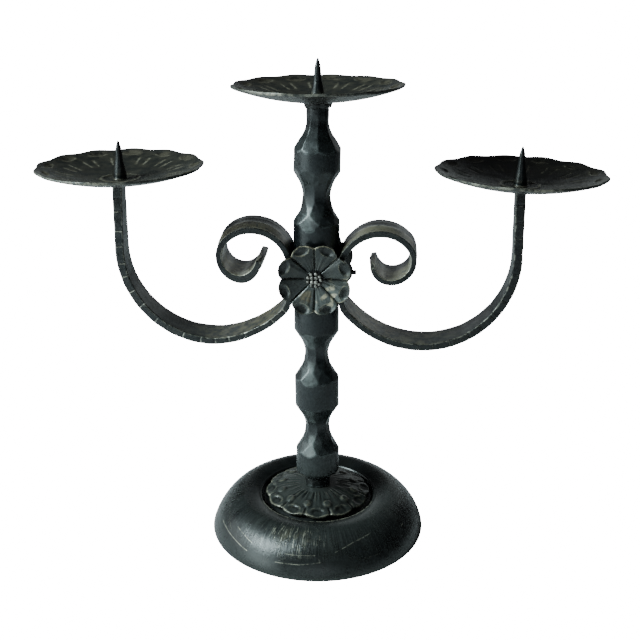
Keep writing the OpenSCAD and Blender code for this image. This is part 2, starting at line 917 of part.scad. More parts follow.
module pan_ring() {
    ring_r = ring_d / 2;
    low_r = ring_r - ring_w / 2;
    high_r = ring_r + ring_w / 2;
    low_z = pan_floor(low_r);
    high_z = pan_floor(high_r);
    rotate_extrude()
    polygon(concat(
        [[high_r, high_z - pan_sheet / 2], [low_r, low_z - pan_sheet / 2]],
        [
            for (i = [0:ring_steps])
                let (u = 2 * i / ring_steps - 1, r = ring_r + u * ring_w / 2)
                [r, pan_floor(r) + ring_rise * (1 - u * u)]
        ]
    ));
}

// Height of a pan's inner face at a radius
function pan_floor(r) =
    pan_sheet - ball_drop(pan_ball_r, pan_seat_d / 2) + ball_drop(pan_ball_r - pan_sheet, r);

// One round dent behind each corner of the rim, cut by a ball
module pan_dents() {
    at = asin((pan_r - dent_inset) / pan_ball_r);
    ball_r = cup_ball_r(dent_d / 2, dent_depth);
    for (i = [0:pan_flats - 1])
        rotate([0, 0, full_turn * i / pan_flats])
        in_cup(pan_ball_r, pan_sheet, pan_seat_d / 2, at)
        translate([0, 0, ball_r - dent_depth])
        sphere(r = ball_r);
}

// The rim's outline runs round each corner and dips between two of them
module rim_prism() {
    pitch = full_turn / pan_flats;
    linear_extrude(height = 2 * pan_depth)
    polygon([
        for (i = [0:pan_flats - 1], c = rim_corner_shares)
            let (a = pitch * (i + c[0]))
            (pan_r - pan_flat_cut * c[1]) * [cos(a), sin(a)]
    ]);
}

module top_pan()
color("gray")
translate([0, 0, stem_top])
rotate([0, 0, top_pan_turn])
pan();

module left_pan()
color("gray")
translate([-pan_offset, 0, arm_top])
rotate([0, 0, side_pan_turn])
pan();

module right_pan()
color("gray")
translate([pan_offset, 0, arm_top])
rotate([0, 0, side_pan_turn])
pan();

// A spike is a turned cone on a flange, with a tenon through the pan
module spike() {
    r = spike_d / 2;
    tip_r = spike_tip_d / 2;
    waist_r = r * spike_waist_share;
    foot_top = spike_base + spike_foot_h;
    rotate_extrude()
    polygon([
        [0, -tenon_len], [tenon_d / 2, -tenon_len],
        [tenon_d / 2, spike_base], [spike_foot_d / 2, spike_base],
        [spike_foot_d / 2, spike_base + spike_foot_h / 2], [r, foot_top],
        [waist_r, spike_h * spike_waist_h_share + foot_top],
        [waist_r * spike_point_share, pan_sheet + spike_h - spike_point_h],
        [tip_r, pan_sheet + spike_h], [0, pan_sheet + spike_h + tip_r]
    ]);
}

module top_spike()
color("lightgray")
translate([0, 0, stem_top])
spike();

module left_spike()
color("lightgray")
translate([-pan_offset, 0, arm_top])
spike();

module right_spike()
color("lightgray")
translate([pan_offset, 0, arm_top])
spike();

// Weld between the stem's neck and the top pan: a fillet of beads
module top_weld()
color("sienna")
difference() {
    intersection() {
        union() {
            translate([0, 0, stem_top - weld_h])
            cylinder(h = weld_h, d1 = neck_d + base_wall, d2 = weld_d - base_wall);
            for (i = [0:weld_n - 1])
                rotate([0, 0, full_turn * i / weld_n])
                translate([weld_d / 2 - weld_h / 2, 0, stem_top - weld_h * weld_wave_share])
                sphere(d = weld_h);
        }
        translate([0, 0, stem_top - 2 * weld_h])
        cylinder(h = 2 * weld_h, d = weld_d);
    }
    translate([0, 0, stem_top - 2 * weld_h])
    cylinder(h = 3 * weld_h, d = neck_d + 2 * weld_gap);
}

module side_weld() {
    gap = 2 * weld_gap;
    bar_w = lookup(bar_t_pan + bead_w, width_at) + gap;
    bar_t = bar_t_pan + gap;
    difference() {
        translate([pan_offset, 0, arm_top])
        intersection() {
            fillet_beads(bar_w, bar_t);
            translate([0, 0, -bead_w])
            cylinder(h = bead_w, d = bar_w + 2 * bead_w);
        }
        translate([pan_offset - bar_t / 2, -bar_w / 2, arm_top - 2 * bead_w])
        cube([bar_t, bar_w, 3 * bead_w]);
    }
}

// Fillet along the four sides of the bar's end, joined at the corners
module fillet_beads(bar_w, bar_t) {
    for (side = [-1, 1]) {
        translate([side * bar_t / 2, 0, 0])
        rotate([quarter, 0, 0])
        cylinder(h = bar_w + bead_w, r = bead_w, center = true);
        translate([0, side * bar_w / 2, 0])
        rotate([0, quarter, 0])
        cylinder(h = bar_t + bead_w, r = bead_w, center = true);
    }
}

module right_weld()
color("sienna")
side_weld();

module left_weld()
color("sienna")
mirror([1, 0, 0])
side_weld();
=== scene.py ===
"""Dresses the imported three-arm candle holder in forged and patinated iron.

Every piece is worked out as a surface in millimetres in the object's frame and
is brought to metres when its mesh is made. The pieces keep the sizes of the
solids that they stand for.
"""

import logging
import math
from dataclasses import dataclass, field
from enum import Enum
from functools import cached_property

import bpy
import numpy as np
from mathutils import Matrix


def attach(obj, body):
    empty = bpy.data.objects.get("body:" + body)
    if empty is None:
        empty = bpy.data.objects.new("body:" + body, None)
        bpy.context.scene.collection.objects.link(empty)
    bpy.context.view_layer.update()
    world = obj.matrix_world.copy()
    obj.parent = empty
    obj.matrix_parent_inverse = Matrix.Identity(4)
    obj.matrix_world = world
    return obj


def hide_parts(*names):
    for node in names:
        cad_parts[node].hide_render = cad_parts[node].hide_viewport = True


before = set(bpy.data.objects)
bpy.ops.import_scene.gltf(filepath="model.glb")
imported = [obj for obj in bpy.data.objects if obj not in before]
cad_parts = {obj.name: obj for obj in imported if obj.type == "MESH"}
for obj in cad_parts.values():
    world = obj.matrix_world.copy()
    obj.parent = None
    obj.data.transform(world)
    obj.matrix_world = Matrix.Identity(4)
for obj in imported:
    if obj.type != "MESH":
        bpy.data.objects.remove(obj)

Array = np.ndarray
Socket = bpy.types.NodeSocket
Colour = tuple[float, float, float]
MM = 0.001
FAR = 99.0
LOG = logging.getLogger("candle_holder")


class Side(Enum):
    """Which side of the stem an arm or a pan stands on."""

    LEFT = -1
    RIGHT = 1


class Facing(Enum):
    """Which way a flower on the stem looks."""

    FRONT = 1
    REAR = -1


# Numbers


def smooth_step(low: float, high: float, value: Array) -> Array:
    """Rises from 0 at low to 1 at high along 3t^2 - 2t^3.

    Args:
        low: value that gives 0.
        high: value that gives 1.
        value: values to map.

    Returns:
        The mapped values, each from 0 to 1.
    """
    t = np.clip((value - low) / (high - low), 0.0, 1.0)
    return t * t * (3.0 - 2.0 * t)


def bump(distance: Array, width: float) -> Array:
    """Bell curve exp(-(distance / width)^2)."""
    return np.exp(-((distance / width) ** 2))


def mound(distance: Array, width: float) -> Array:
    """Curve with a flat top, exp(-(distance / width)^4)."""
    return np.exp(-((distance / width) ** 4))


def around(columns: int) -> Array:
    """Angles of the columns round a piece."""
    return np.arange(columns) * math.tau / columns


def turn_gap(angle: Array, centre: float, period: float) -> Array:
    """Signed angle from the nearest of the directions centre + k * period.

    Args:
        angle: angles in radians.
        centre: one of the directions.
        period: angle between two directions.

    Returns:
        Angles from -period / 2 to period / 2.
    """
    return (angle - centre + period / 2.0) % period - period / 2.0


def toward(angle: Array, degrees: float, width: float) -> Array:
    """Bell curve round one direction, given in degrees, with its width in radians."""
    return bump(turn_gap(angle, math.radians(degrees), math.tau), width)


def waves(seed: int, count: int, top: int, angle: Array, along: Array) -> Array:
    """Sum of seeded sine waves round and along a piece, scaled to about -1 to 1.

    Each wave is sin(m * angle + f * along + phase) with a whole number m, so
    that the sum closes round the piece.

    Args:
        seed: seed of the generator.
        count: number of waves.
        top: highest whole number of waves round the piece.
        angle: angles round the piece.
        along: distance along the piece in units of one wave.

    Returns:
        The sum at every point.
    """
    rng = np.random.default_rng(seed)
    total = np.zeros(np.broadcast(angle, along).shape)
    for _ in range(count):
        m = int(rng.integers(0, top + 1))
        f = rng.uniform(0.4, 1.6) * rng.choice([-1.0, 1.0]) * math.tau
        total = total + np.sin(m * angle + f * along + rng.uniform(0, math.tau))
    return total / math.sqrt(count)


def ripple(seed: int, count: int, top: int, angle: Array) -> Array:
    """Sum of seeded sine waves that go only round a piece."""
    return waves(seed, count, top, angle, 0.0 * angle)


def resampled(line: Array, step: float, soften: float) -> Array:
    """Profile walked in even steps, its corners rounded by a moving mean.

    The line is read at even arc lengths, and each point between the ends is
    replaced by the mean of its neighbours within the softening length.

    Args:
        line: points of the profile, n by 2.
        step: distance between two points.
        soften: half length of the moving mean.

    Returns:
        The new profile, m by 2, with the same ends.
    """
    run = np.concatenate([[0.0], np.cumsum(np.hypot(*np.diff(line, axis=0).T))])
    count = max(int(round(run[-1] / step)), 4)
    at = np.linspace(0.0, run[-1], count + 1)
    even = np.stack([np.interp(at, run, line[:, k]) for k in range(2)], -1)
    reach = max(int(round(soften / step)), 1)
    before = 2.0 * even[:1] - even[reach:0:-1]
    after = 2.0 * even[-1:] - even[-2 : -reach - 2 : -1]
    padded = np.concatenate([before, even, after])
    kernel = np.ones(2 * reach + 1) / (2 * reach + 1)
    soft = np.stack([np.convolve(padded[:, k], kernel, "valid") for k in range(2)], -1)
    soft[0], soft[-1] = even[0], even[-1]
    return soft


def bend_x(z: Array) -> Array:
    """Sideways bend of the forged stem and of what is fastened to it, by height."""
    return -0.75 * smooth_step(50.0, 135.0, z) * smooth_step(284.0, 232.0, z)


# Surfaces


@dataclass
class Shell:
    """A closed surface in millimetres: a grid of rings, and marks on its points."""

    points: Array
    quads: Array
    tris: Array
    grid: tuple[int, int] = (0, 0)
    marks: dict[str, Array] = field(default_factory=dict)

    def faced_out(self) -> "Shell":
        """Turns all faces over if the enclosed volume comes out negative.

        Returns:
            The same shell with its faces looking outwards.
        """
        fans = np.concatenate(
            [self.quads[:, [0, 1, 2]], self.quads[:, [0, 2, 3]], self.tris]
        )
        a, b, c = (self.points[fans[:, k]] for k in range(3))
        if np.einsum("ij,ij->i", a, np.cross(b, c)).sum() < 0.0:
            self.quads = self.quads[:, ::-1]
            self.tris = self.tris[:, ::-1]
        return self

    def neighbour_mean(self, values: Array) -> Array:
        """Mean of each point's neighbours along the sides of all faces.

        Args:
            values: one row for each point.

        Returns:
            The means, in the shape of the values.
        """
        sides = [f[:, [k, (k + 1) % f.shape[1]]] for f in (self.quads, self.tris)
                 for k in range(f.shape[1])]
        ends = np.concatenate(sides)
        ends = np.concatenate([ends, ends[:, ::-1]])
        size = len(self.points)
        count = np.maximum(np.bincount(ends[:, 0], minlength=size), 1)
        sums = [np.bincount(ends[:, 0], column[ends[:, 1]], size) for column in values.T]
        return np.stack(sums, -1) / count[:, None]

    def normals(self) -> Array:
        """Unit normals at the points, from the face normals round each.

        Returns:
            The normals, one row for each point.
        """
        total = np.zeros_like(self.points)
        for faces in (self.quads, self.tris):
            p = self.points[faces]
            n = np.cross(p[:, 2] - p[:, 0], p[:, -1] - p[:, 1])
            for k in range(3):
                for j in range(faces.shape[1]):
                    total[:, k] += np.bincount(faces[:, j], n[:, k], len(self.points))
        return total / np.maximum(np.linalg.norm(total, axis=1, keepdims=True), 1e-12)

    def mark_edges(self, share: float = 1.0, sharp: float = 0.1, rounds: int = 3) -> None:
        """Adds the marks edge and hollow from how far each point stands proud.

        The height of a point over the mean of its neighbours along the normal,
        averaged over a few rounds, is divided by the sharp height. What is
        above 0 is edge, and what is below is hollow.

        Args:
            share: how much of the edges is kept.
            sharp: height in mm that counts as a full edge.
            rounds: rounds of averaging, which widen the marks.
        """
        low = self.points
        for _ in range(rounds):
            low = self.neighbour_mean(low)
        proud = np.einsum("ij,ij->i", self.points - low, self.normals()) / sharp
        self.marks["edge"] = share * np.clip(proud, 0.0, 1.0)
        self.marks["hollow_and_shade"] = np.clip(-proud, 0.0, 1.0)

    def at_points(self, values: Array) -> Array:
        """Values given on the grid, held between 0 and 1, with 0 at the poles."""
        flat = np.clip(np.broadcast_to(values, self.grid), 0.0, 1.0).ravel()
        return np.concatenate([flat, np.zeros(len(self.points) - len(flat))])

    def mark(self, **layers: Array) -> None:
        """Adds marks by name, each given on the grid."""
        self.marks.update({name: self.at_points(v) for name, v in layers.items()})

    def deepen(self, values: Array) -> None:
        """Raises the mark hollow where the values on the grid are greater."""
        self.marks["hollow_and_shade"] = np.maximum(self.marks["hollow_and_shade"], self.at_points(values))


def grid_quads(rows: int, columns: int, closed: bool) -> Array:
    """Faces between the rings of a grid.

    Args:
        rows: number of rings.
        columns: points of a ring.
        closed: whether the last ring joins the first.

    Returns:
        The faces, n by 4.
    """
    i = np.arange(rows if closed else rows - 1)[:, None]
    j = np.arange(columns)[None, :]
    n, k = (i + 1) % rows, (j + 1) % columns
    corners = [i * columns + j, i * columns + k, n * columns + k, n * columns + j]
    return np.stack(corners, -1).reshape(-1, 4)


def closed_tube(rings: Array, poles: Array) -> Shell:
    """Joins rings of points to a tube and closes both ends round a pole.

    Args:
        rings: points, rows by columns by 3.
        poles: the two closing points, 2 by 3.

    Returns:
        The closed shell.
    """
    rows, columns, _ = rings.shape
    j = np.arange(columns)
    k = (j + 1) % columns
    size = rows * columns
    end = size - columns
    first = np.stack([np.full(columns, size), k, j], -1)
    last = np.stack([np.full(columns, size + 1), end + j, end + k], -1)
    points = np.concatenate([rings.reshape(-1, 3), poles])
    quads = grid_quads(rows, columns, False)
    return Shell(points, quads, np.concatenate([first, last]), (rows, columns)).faced_out()


def closed_ring(rings: Array) -> Shell:
    """Joins section loops all round to a ring without ends.

    Args:
        rings: points, rows by columns by 3, wrapped both ways.

    Returns:
        The closed shell.
    """
    rows, columns, _ = rings.shape
    quads = grid_quads(rows, columns, True)
    no_tris = np.empty((0, 3), int)
    return Shell(rings.reshape(-1, 3), quads, no_tris, (rows, columns)).faced_out()


def lathe(radius: Array, height: Array, ends: tuple[float, float]) -> Shell:
    """Closed surface of rings round Z: x = r cos a, y = r sin a, z = h.

    Args:
        radius: radii, rows by columns.
        height: heights, which spread to the same shape.
        ends: heights of the poles that close the first and the last ring.

    Returns:
        The closed shell.
    """
    angle = around(radius.shape[1])
    height = np.broadcast_to(height, radius.shape)
    rings = np.stack([radius * np.cos(angle), radius * np.sin(angle), height], -1)
    return closed_tube(rings, np.array([[0.0, 0.0, ends[0]], [0.0, 0.0, ends[1]]]))


def spun(line: Array, columns: int) -> tuple[Array, Array]:
    """Radii and heights of a turned profile, repeated for all columns."""
    return np.repeat(line[:, :1], columns, 1), np.repeat(line[:, 1:], columns, 1)


def joined(shells: list[Shell]) -> Shell:
    """Puts several closed shells without marks into one list of points and faces.

    Args:
        shells: the shells.

    Returns:
        One shell.
    """
    starts = np.cumsum([0] + [len(s.points) for s in shells[:-1]])
    return Shell(
        np.concatenate([s.points for s in shells]),
        np.concatenate([s.quads + n for s, n in zip(shells, starts)]),
        np.concatenate([s.tris + n for s, n in zip(shells, starts)]),
    )


def to_piece(name: str, shell: Shell, finish: bpy.types.Material,
             node: str) -> bpy.types.Object:
    """Makes a shell a smooth mesh object that stands for a node.

    Args:
        name: name of the new piece.
        shell: its surface in mm.
        finish: its material.
        node: the node that it replaces.

    Returns:
        The new object.
    """
    mesh = bpy.data.meshes.new(name)
    quads, tris = len(shell.quads), len(shell.tris)
    corners = np.concatenate([shell.quads.ravel(), shell.tris.ravel()])
    starts = np.concatenate([np.arange(quads) * 4, quads * 4 + np.arange(tris) * 3])
    mesh.vertices.add(len(shell.points))
    mesh.vertices.foreach_set("co", (shell.points * MM).astype(np.float32).ravel())
    mesh.loops.add(len(corners))
    mesh.loops.foreach_set("vertex_index", corners.astype(np.int32))
    mesh.polygons.add(len(starts))
    mesh.polygons.foreach_set("loop_start", starts.astype(np.int32))
    mesh.polygons.foreach_set("use_smooth", np.ones(len(starts), bool))
    mesh.update(calc_edges=True)
    for mark, values in shell.marks.items():
        layer = mesh.attributes.new(mark, "FLOAT", "POINT")
        layer.data.foreach_set("value", values.astype(np.float32))
    mesh.materials.append(finish)
    piece = bpy.data.objects.new(name, mesh)
    bpy.context.scene.collection.objects.link(piece)
    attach(piece, "root")
    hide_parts(node)
    LOG.info("%s: %d points, %d faces", name, len(shell.points), len(starts))
    return piece


# Materials


class Tree:
    """Short ways of adding nodes to a material or a group."""

    def __init__(self, tree: bpy.types.NodeTree) -> None:
        """Keeps the tree that nodes are added to."""
        self.tree = tree

    @staticmethod
    def of(block: bpy.types.Material | bpy.types.World) -> "Tree":
        """Empty tree of a new material or world.

        Args:
            block: the material or the world.

        Returns:
            Its tree.
        """
        block.use_nodes = True
        block.node_tree.nodes.clear()
        return Tree(block.node_tree)

    def feed(self, target: Socket, value: object) -> None:
        """Links a socket to an output, or sets its value.

        Args:
            target: the input socket.
            value: an output socket, a number, a vector or a colour.
        """
        if isinstance(value, Socket):
            self.tree.links.new(value, target)
        elif target.type == "RGBA":
            target.default_value = (*value, 1.0)
        else:
            target.default_value = value

    def add(self, kind: str, inputs: dict[str | int, object] | None = None,
            **settings: object) -> bpy.types.Node:
        """Adds a node, sets its properties and feeds its sockets.

        Args:
            kind: the node's type name.
            inputs: outputs or values by socket.
            settings: properties by name.

        Returns:
            The node.
        """
        node = self.tree.nodes.new(kind)
        for name, value in settings.items():
            setattr(node, name, value)
        for socket, value in (inputs or {}).items():
            self.feed(node.inputs[socket], value)
        return node

    def group(self, group: bpy.types.NodeTree,
              inputs: dict[str, object]) -> bpy.types.bpy_prop_collection:
        """Adds a node group with its inputs and gives its outputs."""
        return self.add("ShaderNodeGroup", inputs, node_tree=group).outputs

    def mark(self, name: str) -> Socket:
        """Adds an Attribute node that reads one of the points' marks."""
        return self.add("ShaderNodeAttribute", attribute_name=name).outputs["Fac"]

    def math(self, how: str, a: object, b: object = 0.0) -> Socket:
        """Adds a Math node with two inputs."""
        return self.add("ShaderNodeMath", {0: a, 1: b}, operation=how).outputs[0]

    def times(self, a: object, b: object) -> Socket:
        """Product of two inputs."""
        return self.math("MULTIPLY", a, b)

    def plus(self, a: object, b: object) -> Socket:
        """Sum of two inputs."""
        return self.math("ADD", a, b)

    def vector(self, how: str, a: object, b: object = (0.0, 0.0, 0.0)) -> Socket:
        """Adds a Vector Math node with two inputs."""
        node = self.add("ShaderNodeVectorMath", {0: a, 1: b}, operation=how)
        return node.outputs["Value" if how in ("DOT_PRODUCT", "LENGTH") else "Vector"]

    def ramp(self, value: object, low: object, high: object) -> Socket:
        """Maps low to 0 and high to 1 with a soft clamp.

        Args:
            value: what is mapped.
            low: value that gives 0.
            high: value that gives 1.

        Returns:
            The mapped value.
        """
        inputs = {"Value": value, "From Min": low, "From Max": high}
        node = self.add("ShaderNodeMapRange", inputs, interpolation_type="SMOOTHSTEP")
        return node.outputs["Result"]

    def blend(self, share: object, a: object, b: object, how: str = "MIX") -> Socket:
        """Mixes two colours.

        Args:
            share: how much of the second colour.
            a: first colour.
            b: second colour.
            how: blend type.

        Returns:
            The mixed colour.
        """
        inputs = {0: share, 6: a, 7: b}
        return self.add("ShaderNodeMix", inputs, data_type="RGBA", blend_type=how).outputs[2]

    def noise(self, vector: object, scale: object, detail: float = 4.0,
              rough: float = 0.55) -> Socket:
        """Adds a noise texture.

        Args:
            vector: where it is read.
            scale: its scale.
            detail: its octaves.
            rough: its roughness.

        Returns:
            Its factor.
        """
        inputs = {"Vector": vector, "Scale": scale, "Detail": detail, "Roughness": rough}
        return self.add("ShaderNodeTexNoise", inputs).outputs["Fac"]


class Group(Tree):
    """A shader node group with named inputs and outputs."""

    def __init__(self, name: str, inputs: dict[str, object], outputs: list[str]) -> None:
        """Makes the group and its sockets.

        Args:
            name: the group's name.
            inputs: default by name: None for a vector, three shares for a
                colour, else a number.
            outputs: names, of which Color is a colour and the others numbers.
        """
        super().__init__(bpy.data.node_groups.new(name, "ShaderNodeTree"))
        kinds = {type(None): "Vector", tuple: "Color", float: "Float"}
        for label, value in inputs.items():
            socket = self.socket(label, "INPUT", kinds[type(value)])
            if value is not None:
                socket.default_value = (*value, 1.0) if type(value) is tuple else value
        for label in outputs:
            self.socket(label, "OUTPUT", "Color" if label == "Color" else "Float")
        self.given = self.add("NodeGroupInput").outputs
        self.result = self.add("NodeGroupOutput").inputs

    def socket(self, label: str, way: str, kind: str) -> object:
        """Adds one socket to the group's interface."""
        kind = f"NodeSocket{kind}"
        return self.tree.interface.new_socket(name=label, in_out=way, socket_type=kind)

    def close(self, **outputs: Socket) -> bpy.types.NodeTree:
        """Feeds the group's outputs by name.

        Args:
            outputs: what each output is fed with.

        Returns:
            The finished group.
        """
        for label, value in outputs.items():
            self.feed(self.result[label], value)
        return self.tree


class Effects:
    """Shader node groups that several finishes share, built once."""

    def __init__(self) -> None:
        """Builds the groups."""
        self.patina = self.uneven_patina()
        self.rub = self.rubbed_edges()
        self.beaten = self.beaten_face()
        self.strokes = self.radial_strokes()
        self.scratch = self.front_scratch()

    def uneven_patina(self) -> bpy.types.NodeTree:
        """Uneven dark patina: a dark and a pale tone and brown patches.

        Three noises of different size pick between the tones. The finest one
        also makes the roughness uneven.

        Returns:
            The group.
        """
        inputs = {
            "Vector": None, "Dark": (0.02, 0.02, 0.02), "Pale": (0.06, 0.06, 0.06),
            "Brown": (0.06, 0.05, 0.03), "Brown Share": 0.3, "Scale": 60.0,
            "Roughness": 0.4, "Roughness Spread": 0.12,
        }
        t = Group("uneven_patina", inputs, ["Color", "Roughness", "Grain"])
        v, scale = t.given["Vector"], t.given["Scale"]
        broad = t.noise(v, scale, 3.0)
        middle = t.noise(v, t.times(scale, 4.3), 4.0, 0.6)
        fine = t.noise(v, t.times(scale, 21.0), 3.0, 0.65)
        tone = t.ramp(t.plus(t.times(broad, 0.55), t.times(middle, 0.45)), 0.36, 0.66)
        colour = t.blend(tone, t.given["Dark"], t.given["Pale"])
        patch = t.ramp(t.plus(broad, t.times(fine, 0.35)), 0.66, 0.86)
        colour = t.blend(t.times(patch, t.given["Brown Share"]), colour, t.given["Brown"])
        speck = t.blend(t.ramp(fine, 0.3, 0.75), (0.45, 0.45, 0.45), (1.0, 1.0, 1.0))
        spread = t.times(t.math("SUBTRACT", middle, 0.5),
                         t.times(t.given["Roughness Spread"], 3.0))
        return t.close(Color=t.blend(0.35, colour, speck, "MULTIPLY"),
                       Roughness=t.plus(t.given["Roughness"], spread), Grain=fine)

    def rubbed_edges(self) -> bpy.types.NodeTree:
        """Rubbed metal on the worn places, broken up by a noise.

        A mark from 0 to 1 is multiplied by a noise and sharpened, so a wear
        line comes and goes as it does on a patina rubbed by hand.

        Returns:
            The group.
        """
        inputs = {"Vector": None, "Color": (0.03, 0.03, 0.03), "Rubbed": (0.4, 0.36, 0.26),
                  "Mark": 0.0, "Amount": 1.0, "Scale": 300.0}
        t = Group("rubbed_edges", inputs, ["Color"])
        broken = t.noise(t.given["Vector"], t.given["Scale"], 3.0, 0.6)
        share = t.times(t.given["Mark"], t.plus(t.ramp(broken, 0.3, 0.62), 0.25))
        mask = t.times(t.ramp(share, 0.12, 0.75), t.given["Amount"])
        return t.close(Color=t.blend(mask, t.given["Color"], t.given["Rubbed"]))

    def beaten_face(self) -> bpy.types.NodeTree:
        """Height of a hand-beaten face: soft dents and a fine scale.

        Smooth cells give the dents of a hammer, and two noises give the
        unevenness and the grain of the scale.

        Returns:
            The group.
        """
        inputs = {"Vector": None, "Dent Scale": 120.0, "Dents": 0.5, "Grain Scale": 900.0,
                  "Grain": 0.2}
        t = Group("beaten_face", inputs, ["Height"])
        v, scale = t.given["Vector"], t.given["Dent Scale"]
        cells = t.add("ShaderNodeTexVoronoi",
                      {"Vector": v, "Scale": scale, "Smoothness": 0.6}, feature="SMOOTH_F1")
        uneven = t.noise(v, t.times(scale, 0.6), 2.0)
        dents = t.times(t.plus(cells.outputs["Distance"], uneven), t.given["Dents"])
        grain = t.times(t.noise(v, t.given["Grain Scale"], 4.0, 0.65), t.given["Grain"])
        return t.close(Height=t.plus(dents, grain))

    def radial_strokes(self) -> bpy.types.NodeTree:
        """Fine strokes that run out from an upright axis.

        The direction from the axis, times a number of strokes, and the distance
        from it are read by one noise, so its patches are long and narrow.

        Returns:
            The group.
        """
        inputs = {"Vector": None, "Around": 30.0, "Out": 60.0, "Low": 0.56, "High": 0.66}
        t = Group("radial_strokes", inputs, ["Mask"])
        x, y, _ = t.add("ShaderNodeSeparateXYZ", {0: t.given["Vector"]}).outputs
        away = t.math("SQRT", t.plus(t.times(x, x), t.times(y, y)))
        turn = t.math("DIVIDE", t.given["Around"], t.math("MAXIMUM", away, 1e-4))
        parts = {0: t.times(x, turn), 1: t.times(y, turn), 2: t.times(away, t.given["Out"])}
        patches = t.noise(t.add("ShaderNodeCombineXYZ", parts).outputs[0], 1.0, 2.0, 0.5)
        return t.close(Mask=t.ramp(patches, t.given["Low"], t.given["High"]))

    def front_scratch(self) -> bpy.types.NodeTree:
        """One straight scratch on the front, seen along Y.

        The point is laid flat on the upright plane of the arms. The mask falls
        from 1 to 0 with its distance from the line between start and end.

        Returns:
            The group.
        """
        inputs = {"Vector": None, "Start": None, "Along": None, "Inverse Square": 1.0,
                  "Width": 0.0003}
        t = Group("front_scratch", inputs, ["Mask"])
        along = t.given["Along"]
        flat = t.vector("MULTIPLY", t.given["Vector"], (1.0, 0.0, 1.0))
        gap = t.vector("SUBTRACT", flat, t.given["Start"])
        run = t.times(t.vector("DOT_PRODUCT", gap, along), t.given["Inverse Square"])
        share = t.add("ShaderNodeClamp", {0: run}).outputs[0]
        step = t.add("ShaderNodeVectorMath", {0: along, "Scale": share}, operation="SCALE")
        away = t.vector("LENGTH", t.vector("SUBTRACT", gap, step.outputs[0]))
        near = t.math("SUBTRACT", 1.0, t.math("DIVIDE", away, t.given["Width"]))
        y = t.add("ShaderNodeSeparateXYZ", {0: t.given["Vector"]}).outputs[1]
        front = t.times(near, t.math("LESS_THAN", y, 0.0))
        return t.close(Mask=t.add("ShaderNodeClamp", {0: front}).outputs[0])


@dataclass(frozen=True)
class Scratch:
    """A scratch on the front: its ends (x, z) in mm, its half width and strength."""

    start: tuple[float, float]
    end: tuple[float, float]
    width: float = 0.4
    strength: float = 0.6

    def mask(self, t: Tree, effects: Effects, place: Socket) -> Socket:
        """Mask of the scratch.

        Args:
            t: the material's tree.
            effects: the shared node groups.
            place: the object coordinates.

        Returns:
            The mask, as strong as the scratch.
        """
        start = np.array([self.start[0], 0.0, self.start[1]]) * MM
        along = np.array([self.end[0], 0.0, self.end[1]]) * MM - start
        outputs = t.group(effects.scratch, {
            "Vector": place, "Start": tuple(start), "Along": tuple(along),
            "Inverse Square": 1.0 / float(along @ along), "Width": self.width * MM,
        })
        return t.times(outputs["Mask"], self.strength)


